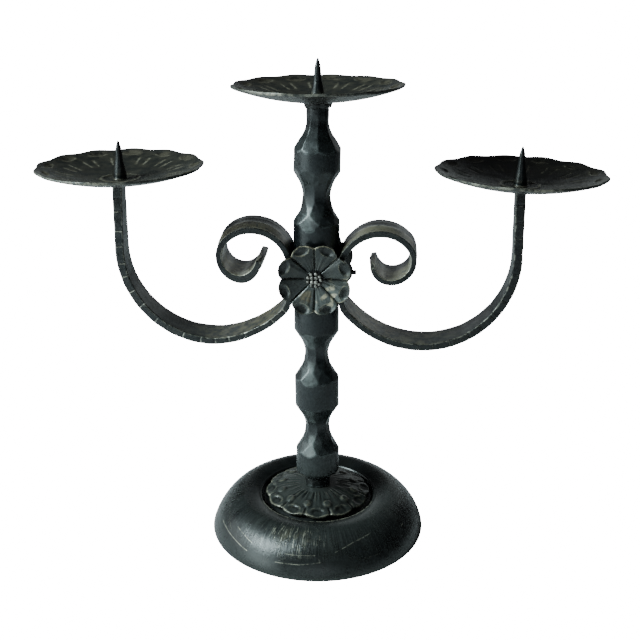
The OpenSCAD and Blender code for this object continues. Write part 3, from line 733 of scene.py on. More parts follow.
@dataclass(frozen=True)
class IronFinish:
    """One iron finish: patina tones, rubbed metal, gloss and beaten surface."""

    name: str
    dark: Colour
    pale: Colour
    brown: Colour
    brown_share: float = 0.3
    patch_scale: float = 60.0
    rubbed: Colour = (0.42, 0.38, 0.28)
    rub_amount: float = 0.8
    rub_scale: float = 320.0
    tan: Colour = (0.11, 0.095, 0.065)
    tan_amount: float = 0.85
    tan_scale: float = 192.0
    light: Colour = (0.075, 0.085, 0.08)
    black: Colour = (0.003, 0.003, 0.003)
    roughness: float = 0.36
    roughness_spread: float = 0.12
    metallic: float = 0.35
    specular: float = 0.55
    dent_scale: float = 130.0
    dents: float = 0.5
    grain: float = 0.25
    bump: float = 0.25
    bump_depth: float = 0.0006
    strokes_around: float = 0.0
    strokes_out: float = 0.0
    scratches: tuple[Scratch, ...] = ()

    def brushed(self, t: Tree, effects: Effects, place: Socket, tan: Socket,
                worn_and_lit: Socket) -> tuple[Socket, Socket, Socket]:
        """Breaks the mark tan up into strokes that run out, and adds fine brush marks.

        Args:
            t: the material's tree.
            effects: the shared node groups.
            place: the object coordinates.
            tan: the mark tan.
            worn_and_lit: the mark worn.

        Returns:
            The new marks tan and worn, and the mask of the brush marks.
        """
        coarse = t.group(effects.strokes, {
            "Vector": place, "Around": self.strokes_around, "Out": self.strokes_out,
        })
        fine = t.group(effects.strokes, {
            "Vector": place, "Around": self.strokes_around * 1.5,
            "Out": self.strokes_out * 0.4, "Low": 0.4, "High": 0.6,
        })
        worn_and_lit = t.math("MAXIMUM", worn_and_lit, t.times(tan, coarse["Mask"]))
        return t.times(tan, 0.3), worn_and_lit, t.times(fine["Mask"], t.mark("brushed"))

    def build(self, effects: Effects) -> bpy.types.Material:
        """Makes the material.

        The patina takes the point marks in turn: pale blends the light colour in,
        which paints light on lit faces and also makes the patina paler; the mark of
        hollows and shade darkens it, with painted shade as well as patina in the
        hollows; tan lays rubbed brown on it; and the marks of wear and edges lay
        rubbed metal on it, which also paints highlights.
        Brushed marks and strokes are for pieces turned and brushed radially.

        Args:
            effects: the shared node groups.

        Returns:
            The material.
        """
        material = bpy.data.materials.new(self.name)
        t = Tree.of(material)
        place = t.add("ShaderNodeTexCoord").outputs["Object"]
        tan, worn_and_lit, brush = t.mark("tan"), t.mark("worn_and_lit"), 0.0
        if self.strokes_around > 0.0:
            tan, worn_and_lit, brush = self.brushed(t, effects, place, tan, worn_and_lit)
        for scratch in self.scratches:
            worn_and_lit = t.math("MAXIMUM", worn_and_lit, scratch.mask(t, effects, place))

        patina = t.group(effects.patina, {
            "Vector": place, "Dark": self.dark, "Pale": self.pale, "Brown": self.brown,
            "Brown Share": self.brown_share, "Scale": self.patch_scale,
            "Roughness": self.roughness, "Roughness Spread": self.roughness_spread,
        })
        # Pale blends in the light colour: it paints light on lit faces and also makes the patina
        # paler.
        pale_and_lit = t.times(t.mark("pale"), t.plus(0.4, patina["Grain"]))
        colour = t.blend(pale_and_lit, patina["Color"], self.light)
        # The mark of hollows and shade lays near black: patina in hollows and painted shade.
        colour = t.blend(t.times(t.mark("hollow_and_shade"), 0.8), colour, self.black)
        colour = t.blend(t.times(brush, 0.4), colour, self.light)
        warm = t.group(effects.rub, {
            "Vector": place, "Color": colour, "Rubbed": self.tan, "Mark": tan,
            "Amount": self.tan_amount, "Scale": self.tan_scale,
        })
        # Rubbed metal for the marks of wear and edges, which also paint highlights.
        bare_and_highlit = t.group(effects.rub, {
            "Vector": place, "Color": warm["Color"], "Rubbed": self.rubbed,
            "Mark": t.math("MAXIMUM", worn_and_lit, t.mark("edge")),
            "Amount": self.rub_amount, "Scale": self.rub_scale,
        })
        beaten = t.group(effects.beaten, {
            "Vector": place, "Dent Scale": self.dent_scale, "Dents": self.dents,
            "Grain": self.grain,
        })
        relief = t.add("ShaderNodeBump", {
            "Strength": self.bump, "Distance": self.bump_depth,
            "Height": t.math("SUBTRACT", beaten["Height"], t.times(brush, 0.6)),
        })
        shader = t.add("ShaderNodeBsdfPrincipled", {
            "Base Color": bare_and_highlit["Color"], "Roughness": patina["Roughness"],
            "Metallic": self.metallic, "Specular IOR Level": self.specular,
            "Normal": relief.outputs["Normal"],
        })
        t.add("ShaderNodeOutputMaterial", {"Surface": shader.outputs["BSDF"]})
        return material


@dataclass(frozen=True)
class Finishes:
    """All finishes of the holder, by the record's slots."""

    base: IronFinish = IronFinish(
        "spun_iron", (0.0035, 0.0047, 0.005), (0.009, 0.0115, 0.012), (0.016, 0.015, 0.011),
        brown_share=0.25, roughness=0.29, roughness_spread=0.06, dents=0.1, grain=0.3,
        patch_scale=40.0, tan=(0.13, 0.125, 0.085), rubbed=(0.3, 0.3, 0.24),
        strokes_around=88.0, strokes_out=150.0,
        scratches=(
            Scratch((-63.6, 13.1), (-42.5, 9.7), 0.45, 0.8),
            Scratch((-50.7, 17.6), (-39.3, 14.8), 0.4, 0.6),
            Scratch((-59.9, 20.2), (-55.9, 13.9), 0.35, 0.35),
            Scratch((16.3, 16.3), (27.0, 19.6), 0.4, 0.55),
            Scratch((27.0, 19.6), (38.4, 21.5), 0.4, 0.5),
            Scratch((33.8, 10.8), (48.6, 10.5), 0.4, 0.35),
            Scratch((-16.1, 14.7), (3.5, 15.2), 0.4, 0.5),
            Scratch((-22.6, 9.4), (-14.0, 13.5), 0.4, 0.35),
            Scratch((-14.0, 13.5), (5.5, 14.2), 0.35, 0.3),
            Scratch((5.5, 14.2), (7.0, 11.6), 0.4, 0.4),
            Scratch((7.0, 11.6), (-5.9, 10.1), 0.45, 0.5),
            Scratch((-5.9, 10.1), (-22.6, 9.4), 0.5, 0.6),
            Scratch((59.4, 16.6), (59.8, 16.8), 0.7, 0.9),
        ),
    )
    rosette: IronFinish = IronFinish(
        "pressed_iron", (0.006, 0.0075, 0.0065), (0.018, 0.019, 0.016), (0.035, 0.033, 0.024),
        brown_share=0.45, roughness=0.34, dents=0.3, grain=0.35, patch_scale=90.0,
        tan=(0.09, 0.085, 0.06), rubbed=(0.28, 0.27, 0.2), rub_amount=0.6,
    )
    stem: IronFinish = IronFinish(
        "forged_iron", (0.004, 0.006, 0.007), (0.012, 0.016, 0.018), (0.014, 0.015, 0.013),
        brown_share=0.2, roughness=0.34, dents=0.35, grain=0.2, rub_amount=0.3,
        rubbed=(0.12, 0.14, 0.14),
    )
    arm: IronFinish = IronFinish(
        "drawn_iron", (0.005, 0.007, 0.007), (0.014, 0.017, 0.018), (0.024, 0.022, 0.016),
        roughness=0.34, dents=0.35, grain=0.25, tan=(0.2, 0.18, 0.12),
        rubbed=(0.34, 0.33, 0.27), rub_amount=0.65,
    )
    pan: IronFinish = IronFinish(
        "beaten_sheet", (0.009, 0.009, 0.0072), (0.024, 0.0235, 0.0185), (0.04, 0.034, 0.023),
        brown_share=0.5, roughness=0.4, dents=0.6, grain=0.35, patch_scale=80.0,
        tan=(0.1, 0.09, 0.065), rubbed=(0.3, 0.28, 0.22), rub_amount=0.7,
    )
    flower: IronFinish = IronFinish(
        "petal_iron", (0.005, 0.007, 0.007), (0.016, 0.019, 0.018), (0.03, 0.028, 0.02),
        brown_share=0.4, roughness=0.32, dents=0.3, grain=0.3, patch_scale=110.0,
        tan=(0.14, 0.125, 0.08), rubbed=(0.42, 0.39, 0.28), rub_amount=0.75,
    )
    rivet: IronFinish = IronFinish(
        "berry_iron", (0.01, 0.01, 0.0095), (0.03, 0.03, 0.028), (0.04, 0.036, 0.026),
        roughness=0.3, rubbed=(0.34, 0.33, 0.29), rub_amount=0.7,
    )
    spike: IronFinish = IronFinish(
        "spike_iron", (0.004, 0.006, 0.0065), (0.011, 0.014, 0.015), (0.012, 0.012, 0.01),
        brown_share=0.1, roughness=0.32, dents=0.2, grain=0.2, rub_amount=0.3,
    )
    weld: IronFinish = IronFinish(
        "weld_iron", (0.004, 0.005, 0.005), (0.012, 0.013, 0.012), (0.024, 0.02, 0.015),
        brown_share=0.4, roughness=0.4, dents=0.7, grain=0.5, dent_scale=400.0,
        rub_amount=0.3,
    )
    fastener: IronFinish = IronFinish(
        "black_steel", (0.005, 0.005, 0.005), (0.014, 0.014, 0.014), (0.014, 0.012, 0.01),
        brown_share=0.2, roughness=0.4, dents=0.1, grain=0.3,
    )


# Pieces


@dataclass(frozen=True)
class Place:
    """Where a piece stands: a turn matrix and a shift in mm."""

    turn: Array
    shift: tuple[float, float, float]

    @staticmethod
    def upright(x: float, z: float, turn: float = 0.0) -> "Place":
        """Place on the holder's middle plane, turned round Z.

        Args:
            x: distance to the right of the stem.
            z: height.
            turn: angle round Z in degrees.

        Returns:
            The place.
        """
        c, s = math.cos(math.radians(turn)), math.sin(math.radians(turn))
        return Place(np.array([[c, -s, 0.0], [s, c, 0.0], [0.0, 0.0, 1.0]]), (x, 0.0, z))

    @staticmethod
    def on_stem(facing: Facing, out: float, z: float) -> "Place":
        """Place on the front or the back of the stem, its Z axis looking out.

        Args:
            facing: front or back.
            out: distance of the seat from the stem's axis.
            z: height.

        Returns:
            The place.
        """
        side = facing.value
        matrix = np.array([[side, 0.0, 0.0], [0.0, 0.0, -side], [0.0, 1.0, 0.0]])
        return Place(matrix, (float(bend_x(z)), -side * out, z))

    def tilted(self, along_x: float, along_y: float) -> "Place":
        """The same place with its level faces rising along X and Y.

        Args:
            along_x: rise along X in degrees.
            along_y: rise along Y in degrees.

        Returns:
            The new place.
        """
        lean = np.eye(3)
        lean[2, :2] = np.tan(np.radians([along_x, along_y]))
        return Place(lean @ self.turn, self.shift)

    def put(self, shell: Shell) -> Shell:
        """Moves a shell to this place."""
        shell.points = shell.points @ self.turn.T + np.array(self.shift)
        return shell


@dataclass(frozen=True)
class Cup:
    """A round cup of sheet: its two faces are balls with the same middle."""

    radius: float
    rise: float
    sheet: float
    seat: float

    @property
    def ball(self) -> float:
        """Radius of the outer ball."""
        return (self.radius**2 + self.rise**2) / (2.0 * self.rise)

    @property
    def cut(self) -> float:
        """Height of the outer ball's cap that the seat cuts off."""
        return self.ball - math.sqrt(self.ball**2 - self.seat**2)

    def under(self, r: Array) -> Array:
        """Height of the outer face, flat up to the seat's radius."""
        return np.maximum(self.ball - np.sqrt(self.ball**2 - r**2) - self.cut, 0.0)

    def floor(self, r: Array) -> Array:
        """Height of the inner face."""
        inner = self.ball - self.sheet
        return self.sheet - self.cut + inner - np.sqrt(inner**2 - r**2)

    def height(self, r: Array, share: Array) -> Array:
        """Height at a share of the thickness: 0 is the outer face and 1 the inner one."""
        return self.under(r) * (1.0 - share) + self.floor(r) * share


def sheet_rows(radius: float, step: float, corner: float) -> tuple[Array, Array]:
    """Rows of a piece of sheet from its middle below, round its edge, to its middle above.

    A row has a radius and a thickness share. The thickness share is 0 on the
    lower face and 1 on the upper one, and goes over in a round edge.

    Args:
        radius: outer radius.
        step: distance between two rows.
        corner: how far in from the edge the rounding starts.

    Returns:
        The radii and the thickness shares, each a column.
    """
    count = int(radius / step)
    out = np.linspace(step * 0.6, radius - corner, count)
    a = np.linspace(-math.pi / 2, math.pi / 2, 11)[1:-1]
    edge = radius - corner + corner * np.cos(a) ** 0.6
    share = 0.5 + 0.5 * np.sign(np.sin(a)) * np.abs(np.sin(a)) ** 0.8
    radii = np.concatenate([out, edge, out[::-1]])
    shares = np.concatenate([np.zeros(count), share, np.ones(count)])
    return radii[:, None], shares[:, None]


def lobed_outline(angle: Array, radius: float, lobe: float, count: int) -> Array:
    """Radius of the outline of overlapping rounds.

    With d the angle from the nearest lobe's middle, c the distance of its
    centre and q its radius, the outline is c cos d + sqrt(q^2 - c^2 sin^2 d).

    Args:
        angle: angles round the piece, a lobe being at 0.
        radius: outer radius.
        lobe: radius of one lobe.
        count: number of lobes.

    Returns:
        The radius at each angle.
    """
    centre = radius - lobe
    d = turn_gap(angle, 0.0, math.tau / count)
    return centre * np.cos(d) + np.sqrt(lobe**2 - (centre * np.sin(d)) ** 2)


@dataclass(frozen=True)
class BaseDish:
    """The spun base: a round crest, a sharp lip, a recess and a raised seat."""

    radius: float = 74.1
    height: float = 26.0
    crest: float = 51.0
    lip: float = 39.5
    lip_z: float = 23.3
    recess_z: float = 20.0
    recess_run: float = 1.8
    seat: float = 11.0
    seat_z: float = 29.4
    hole: float = 0.4
    wall: float = 2.2
    bead_height: float = 0.5
    unevenness: float = 0.16
    rubbed_ring: float = 59.0
    brushed_ring: float = 58.0
    rubbed_z: float = 12.0
    row_step: float = 0.62
    softness: float = 0.55
    columns: int = 252

    def crest_curve(self, radius: float, height: float) -> Array:
        """Round side: r = rc + (ro - rc) cos(a)^1.25 and z = h sin(a)^1.29.

        Args:
            radius: radius at the floor.
            height: height of the crest.

        Returns:
            Points from the floor to the crest.
        """
        a = np.linspace(0.0, math.pi / 2, 60)
        cos = np.maximum(np.cos(a), 0.0)
        r = self.crest + (radius - self.crest) * cos**1.25
        return np.stack([r, height * np.sin(a) ** 1.29], -1)

    @staticmethod
    def fall(r_a: float, z_a: float, r_b: float, z_b: float) -> Array:
        """Curve z = za + (zb - za) u^2 from one ring to another."""
        u = np.linspace(0.0, 1.0, 24)
        return np.stack([r_a + (r_b - r_a) * u, z_a + (z_b - z_a) * u * u], -1)

    def face(self, wall: float) -> Array:
        """Half section of one face from the floor to the middle.

        Args:
            wall: distance below the outer face: 0 or the wall.

        Returns:
            Points (r, z).
        """
        recess = self.lip - self.recess_run
        foot = recess - self.recess_run
        crest_z, recess_z, seat_z = (
            z - wall for z in (self.height, self.recess_z, self.seat_z)
        )
        return np.concatenate([
            self.crest_curve(self.radius - wall, crest_z),
            self.fall(self.crest, crest_z, self.lip + wall, self.lip_z - wall)[1:],
            [[recess + wall / 2, recess_z]],
            self.fall(self.seat, seat_z, foot, recess_z)[::-1],
            [[self.hole, seat_z]],
        ])

    def shell(self) -> Shell:
        """Turned surface with a slight unevenness of spinning and a bead on its lip.

        Returns:
            The dish with its marks.
        """
        outline = np.concatenate([self.face(self.wall)[::-1], self.face(0.0)])
        r, z = spun(resampled(outline, self.row_step, self.softness), self.columns)
        uneven = 1.0 + waves(11, 14, 7, around(self.columns)[None, :], r / 90.0)
        side = smooth_step(self.lip + 1.0, self.lip + 8.0, r) * smooth_step(0.0, 6.0, z)
        r = r - self.unevenness * uneven * side
        z = z + self.bead_height * bump(r - self.lip - 0.5, 0.7) * (z > self.lip_z - 1.6)
        shell = lathe(r, z, (self.seat_z - self.wall, self.seat_z))
        self.dress(shell)
        return shell

    def dress(self, shell: Shell) -> None:
        """Marks where the crest is rubbed and brushed, paints a highlight along the
        front of the lip, and paints reflections on the lower front and on a band of the crest.

        Each mark is a bell curve of the distance from the axis times one of the
        direction, which is 0 degrees at the front and grows to the right.

        Args:
            shell: the dish.
        """
        x, y, z = shell.points.T
        out, turn = np.hypot(x, y), np.degrees(np.arctan2(x, -y))
        crest = z > self.rubbed_z
        front = bump(turn + 12.0, 14.0) + 0.22 * smooth_step(150.0, 20.0, np.abs(turn - 8.0))
        # Painted highlight: a light line along the front of the lip.
        lip = bump(out - self.lip - 0.5, 0.8) * (z > self.lip_z - 0.5)
        # Painted reflections: the lower front is made paler for the floor, and a band of the crest
        # to the front right for the lamps above.
        foot = smooth_step(17.0, 6.0, z) * bump(turn + 10.0, 65.0)
        crest_reflection = bump(out - self.crest, 13.0) * bump(turn - 40.0, 75.0) * (z > 10.0)
        shell.marks = {
            "tan": front * bump(out - self.rubbed_ring, 8.0) * crest,
            "brushed": bump(out - self.brushed_ring, 10.0) * crest
            * (0.45 + 0.55 * bump(turn, 75.0)),
            "worn_and_lit": 0.9 * lip * smooth_step(110.0, 30.0, np.abs(turn)),
            "pale": 0.3 * foot + 0.4 * crest_reflection,
        }


@dataclass(frozen=True)
class BaseRosette:
    """The pressed rosette: lobes with scoops, bosses between them and grooves."""

    radius: float = 36.8
    top: float = 31.0
    rise: float = 7.0
    sheet: float = 1.6
    seat: float = 11.0
    lobes: int = 12
    lobe_turn: float = 4.0
    lobe_radius: float = 11.5
    lobe_depth_share: float = 0.6
    boss_ring: float = 26.0
    boss_width: float = 2.8
    boss_height: float = 1.1
    scoop_ring: float = 32.6
    scoop_width: float = 4.3
    scoop_depth: float = 1.0
    scoop_squash: float = 0.75
    lip_height: float = 0.45
    groove_start: float = 29.8
    groove_width: float = 0.75
    groove_depth: float = 0.9
    rim_rise: float = 0.9
    flutter: float = 0.25
    lowest: float = 22.7
    columns: int = 420

    def shell(self) -> Shell:
        """Dome z = top - rise ((r - seat) / (R - seat))^2 with pressed relief.

        Returns:
            The rosette with its marks.
        """
        angle = around(self.columns)[None, :]
        lobe_angle = angle - math.radians(self.lobe_turn)
        pitch = math.tau / self.lobes
        radii, share = sheet_rows(self.radius, 0.55, 0.9)
        outline = lobed_outline(lobe_angle, self.radius, self.lobe_radius, self.lobes)
        inset = self.lobe_depth_share * (self.radius - outline)
        r = radii - inset * smooth_step(23.0, 36.0, radii) - 0.4 * smooth_step(25.0, 36.0, radii)
        u = np.maximum(r - self.seat, 0.0) / (self.radius - self.seat)
        z = self.top - self.rise * u * u - self.sheet * (1.0 - share)

        between = turn_gap(lobe_angle, pitch / 2, pitch) * r
        boss = np.hypot(r - self.boss_ring, between)
        scoop = np.hypot(
            (r - self.scoop_ring) / self.scoop_squash, turn_gap(lobe_angle, 0.0, pitch) * r
        )
        lip = bump(scoop - 4.6, 0.8) * smooth_step(0.5, -1.5, r - self.scoop_ring)
        groove = bump(between, self.groove_width) * smooth_step(
            self.groove_start - 1.5, self.groove_start + 1.5, r
        )
        wrinkle = waves(5, 10, 60, lobe_angle, radii / 60.0)
        creased = (0.08 + 0.14 * smooth_step(24.0, 20.0, r)) * smooth_step(12.0, 16.0, r)
        relief = (
            self.boss_height * mound(boss, self.boss_width)
            - self.scoop_depth * mound(scoop, self.scoop_width)
            + self.lip_height * lip - self.groove_depth * groove + creased * wrinkle
        )
        z = z + relief * (0.35 + 0.65 * share)
        z = z + self.rim_rise * smooth_step(27.0, 36.0, radii)
        z = z + self.flutter * ripple(8, 5, 5, angle) * smooth_step(24.0, 36.0, r)
        shell = lathe(r, np.maximum(z, self.lowest), (self.top - self.sheet, self.top))

        on_top = share > 0.9
        boss_edge = bump(boss - 2.3, 0.6)
        rim = bump(radii - self.radius + 0.4, 0.7)
        # This marks the side towards the lamps: there painted light makes the rosette pale, its
        # rim lighter and its hollows less dark.
        left = smooth_step(-0.9, 0.6, -np.cos(angle - math.radians(28.0)))
        dark = 0.7 * bump(scoop, 3.8) + 0.8 * groove + 0.6 * bump(boss - 3.9, 0.9)
        shell.mark_edges(0.35, rounds=4)
        shell.mark(
            tan=on_top * (0.35 * boss_edge + 0.3 * smooth_step(0.3, 1.2, wrinkle)),
            worn_and_lit=on_top * (0.3 * boss_edge + 0.35 * lip + (0.3 + 0.5 * left) * rim),
            pale=on_top * (0.15 + 0.5 * left),
        )
        shell.deepen(on_top * dark * (1.0 - 0.5 * left))
        return shell


@dataclass(frozen=True)
class Stem:
    """The round bar whose waists are forged with flats all round."""

    base: float = 31.0
    top: float = 295.6
    radius: float = 14.9
    foot_radius: float = 8.5
    foot_length: float = 6.6
    foot_bevel: float = 5.4
    neck_radius: float = 7.1
    neck_cone: float = 8.0
    waist_z: tuple[float, ...] = (77.5, 130.6, 237.4, 284.0)
    waist_r: tuple[float, ...] = (7.65, 7.3, 8.3, 6.6)
    reach_low: tuple[float, ...] = (19.6, 18.8, 18.0, 18.4)
    reach_high: tuple[float, ...] = (16.0, 17.4, 17.2, 20.0)
    pinch: tuple[float, ...] = (1.0, 1.0, 1.0, 0.0)
    pinch_above: float = 0.55
    flats: int = 8
    waist_turn: float = 24.0
    swing_z: tuple[float, ...] = (62.0, 77.5, 114.0, 130.6, 218.0, 237.4, 266.0, 284.0)
    swing: tuple[float, ...] = (-2.0, 1.0, 4.0, 0.0, 6.0, -7.0, 6.0, 8.0)
    struck_flat: int = 5
    blows: tuple[tuple[float, float, float], ...] = ((216.5, 7.5, 1.3), (110.0, 6.0, 0.4))
    seat: float = 14.5
    arm_seat: tuple[float, float] = (160.8, 205.2)
    flower_seat: tuple[float, float] = (164.6, 209.0)
    roughness: float = 0.05
    columns: int = 252
    row_step: float = 0.7
    softness: float = 0.07

    def waist(self, z: Array, fuller: bool) -> Array:
        """Distance of a flat from the axis by height, for one of the two sets.

        With t the share of the reach from the nearest waist and a the waist's
        radius, a fullered flat is a + (R - a) (0.05 t + 1.3 t^2) up to t = 0.6
        and straight from there to R. A kite flat lies between two of them. Its
        distance is theirs times a share that is least at t = 0.6, where the
        kites meet and part each tongue from its fan. They stay out of sight
        where the pinch of that side of the waist is 0.

        Args:
            z: heights.
            fuller: whether the flat is of the fullered set.

        Returns:
            The distances.
        """
        least = np.full(z.shape, FAR)
        hidden, meeting = 1.09, math.cos(math.pi / 8) + 0.02
        rows = zip(self.waist_z, self.waist_r, self.reach_low, self.reach_high, self.pinch)
        for at, a, low, high, pinch in rows:
            t = np.where(z < at, (at - z) / low, (z - at) / high)
            curve = np.where(t < 0.6, 0.05 * t + 1.3 * t * t, 0.5 + 1.25 * (t - 0.6))
            kite = np.interp(t, [0.15, 0.6, 1.0], [hidden, meeting, 1.1])
            kite = hidden - (hidden - kite) * np.where(z < at, pinch, self.pinch_above)
            distance = a + (self.radius - a) * curve
            least = np.minimum(least, distance * (1.0 if fuller else kite))
        return least

    def bar(self, z: Array) -> Array:
        """Radius of the turned bar: foot, bevel, bar, cone and neck.

        Args:
            z: heights.

        Returns:
            The radii.
        """
        foot, neck, radius = self.base + self.foot_length, self.waist_z[-1], self.radius - 0.1
        return np.interp(
            z,
            [self.base, foot, foot + self.foot_bevel, neck - self.neck_cone, neck],
            [self.foot_radius, self.foot_radius, radius, radius, self.neck_radius],
        )

    def layers(self, z: Array, angle: Array) -> Array:
        """Radii of the bar, of the flats of its waists and of its seats.

        A flat at the distance d in the direction t is the radius
        d / cos(angle - t). Each flat of a waist is turned, sunk and lifted a
        little, as blows are.

        Args:
            z: heights, a column.
            angle: angles, a row.

        Returns:
            The radii, layers by rows by columns.
        """
        rng = np.random.default_rng(21)
        swing = np.interp(z, self.swing_z, np.radians(self.swing))
        found = [np.broadcast_to(self.bar(z), np.broadcast(z, angle).shape)]
        step = 360.0 / self.flats
        for turn, fuller in ((self.waist_turn, True), (self.waist_turn + step / 2, False)):
            for k in range(self.flats):
                twist, sink, lift = (
                    np.interp(z, self.waist_z, rng.uniform(low, high, len(self.waist_z)))
                    for low, high in ((-0.03, 0.03), (-0.12, 0.06), (-0.7, 0.7))
                )
                cos = np.cos(angle - math.radians(turn + step * k) - (swing + twist))
                d = self.waist(z + lift, fuller) + sink
                if fuller and k == self.struck_flat:
                    for at, width, depth in self.blows:
                        d = d - depth * bump(z - at, width)
                found.append(np.where(cos > 0.2, d / np.maximum(cos, 0.2), FAR))
        for (low, high), turn in ((self.arm_seat, 0.0), (self.flower_seat, math.pi / 2)):
            cos = np.abs(np.cos(angle - turn))
            seated = (z > low) & (z < high) & (cos > 0.5)
            found.append(np.where(seated, self.seat / np.maximum(cos, 0.5), FAR))
        return np.stack(found)

    def shell(self) -> Shell:
        """Soft least of the bar and of all its flats.

        The soft least of radii r is -k log(sum(exp(-r / k))), which rounds the
        edges by about k. Steep flats get rubbed metal and pale, most towards the
        front left, which paints highlights on the flats that face the lamps.

        Returns:
            The stem with its marks.
        """
        count = int((self.top - self.base) / self.row_step)
        z = np.linspace(self.base, self.top, count + 1)[:, None]
        angle = around(self.columns)[None, :]
        layers = self.layers(z, angle)
        least = layers.min(0)
        k = self.softness
        r = least - k * np.log(np.exp(-(layers - least) / k).sum(0))
        r = r + self.roughness * waves(3, 16, 9, angle, z / 26.0)
        r = np.minimum(r, self.radius)
        shell = lathe(r, z, (self.base, self.top))

        slope = np.gradient(r, axis=0)
        shell.mark_edges()
        shell.marks["edge"] *= 0.15 + 0.6 * shell.at_points(slope < 0.02)
        steep = smooth_step(0.22, 0.4, np.abs(slope) / self.row_step)
        # Painted highlight: steep flats that face the front left, towards the lamps, get rubbed
        # metal and pale.
        front = toward(angle, -110.0, math.radians(17.0)) * (z < 240.0)
        rubbed = steep * (0.25 + 0.75 * front) * (np.argmin(layers, 0) > 0)
        # Painted shade: the narrow foot under the bar is darkened. The lowest part is also made
        # paler towards the bottom.
        foot = smooth_step(self.base + self.foot_length + 3.0, self.base + 5.0, z)
        shell.mark(
            worn_and_lit=0.9 * rubbed,
            pale=0.6 * rubbed + 0.3 * smooth_step(64.0, 50.0, z),
            hollow_and_shade=0.95 * foot,
        )
        shell.points[:, 0] += bend_x(shell.points[:, 2])
        return shell


@dataclass(frozen=True)
class Hand:
    """How the smith's hand left one arm, and how much light and shade is painted
    on it: in mm, or in shares of full marks.

    A shift is (x, z) away from the stem and up. A raise is the place along X,
    the reach and the height of a stretch of the sweep that stands higher. The
    shine and light shares are larger on the left arm, which faces the lamps, so
    its marks also paint highlights and light; the riser shade paints shade on
    the right arm's riser.
    """

    side: Side
    seed: int
    wider: float
    tip_rise: float
    raises: tuple[tuple[float, float, float], ...]
    cut_shine: float
    inner_shine: float
    inner_light: float
    tip_shine: float
    scroll_flare: float = 0.0
    tip_bulge: float = 0.0
    sweep_shift: tuple[float, float] = (0.0, 0.0)
    curl_shift: tuple[float, float] = (0.0, 0.0)
    riser_shade: float = 0.0


# The left arm faces the lamps and gets more painted highlight and light; the right arm gets
# painted shade on its riser.
LEFT_HAND = Hand(
    Side.LEFT, seed=31, wider=2.5, tip_rise=1.0,
    raises=((-34.0, 24.0, 1.6), (-55.0, 30.0, 0.5)),
    cut_shine=2.0, inner_shine=0.85, inner_light=0.8, tip_shine=1.0,
    scroll_flare=1.7, tip_bulge=2.0,
)
RIGHT_HAND = Hand(
    Side.RIGHT, seed=47, wider=1.7, tip_rise=-0.9,
    raises=((42.0, 34.0, 0.9), (27.0, 14.0, 0.5)),
    cut_shine=1.1, inner_shine=0.55, inner_light=0.4, tip_shine=0.5,
    sweep_shift=(0.55, -0.45), curl_shift=(1.0, -0.5), riser_shade=0.6,
)


@dataclass(frozen=True)
class Route:
    """Middle line of an arm's bar: columns by station, and where its pieces end."""

    s: Array
    x: Array
    z: Array
    phi: Array
    width: Array
    thick: Array
    riser: float
    bottom: float
    knee: float
    seat: float
    scroll: float
    end: float


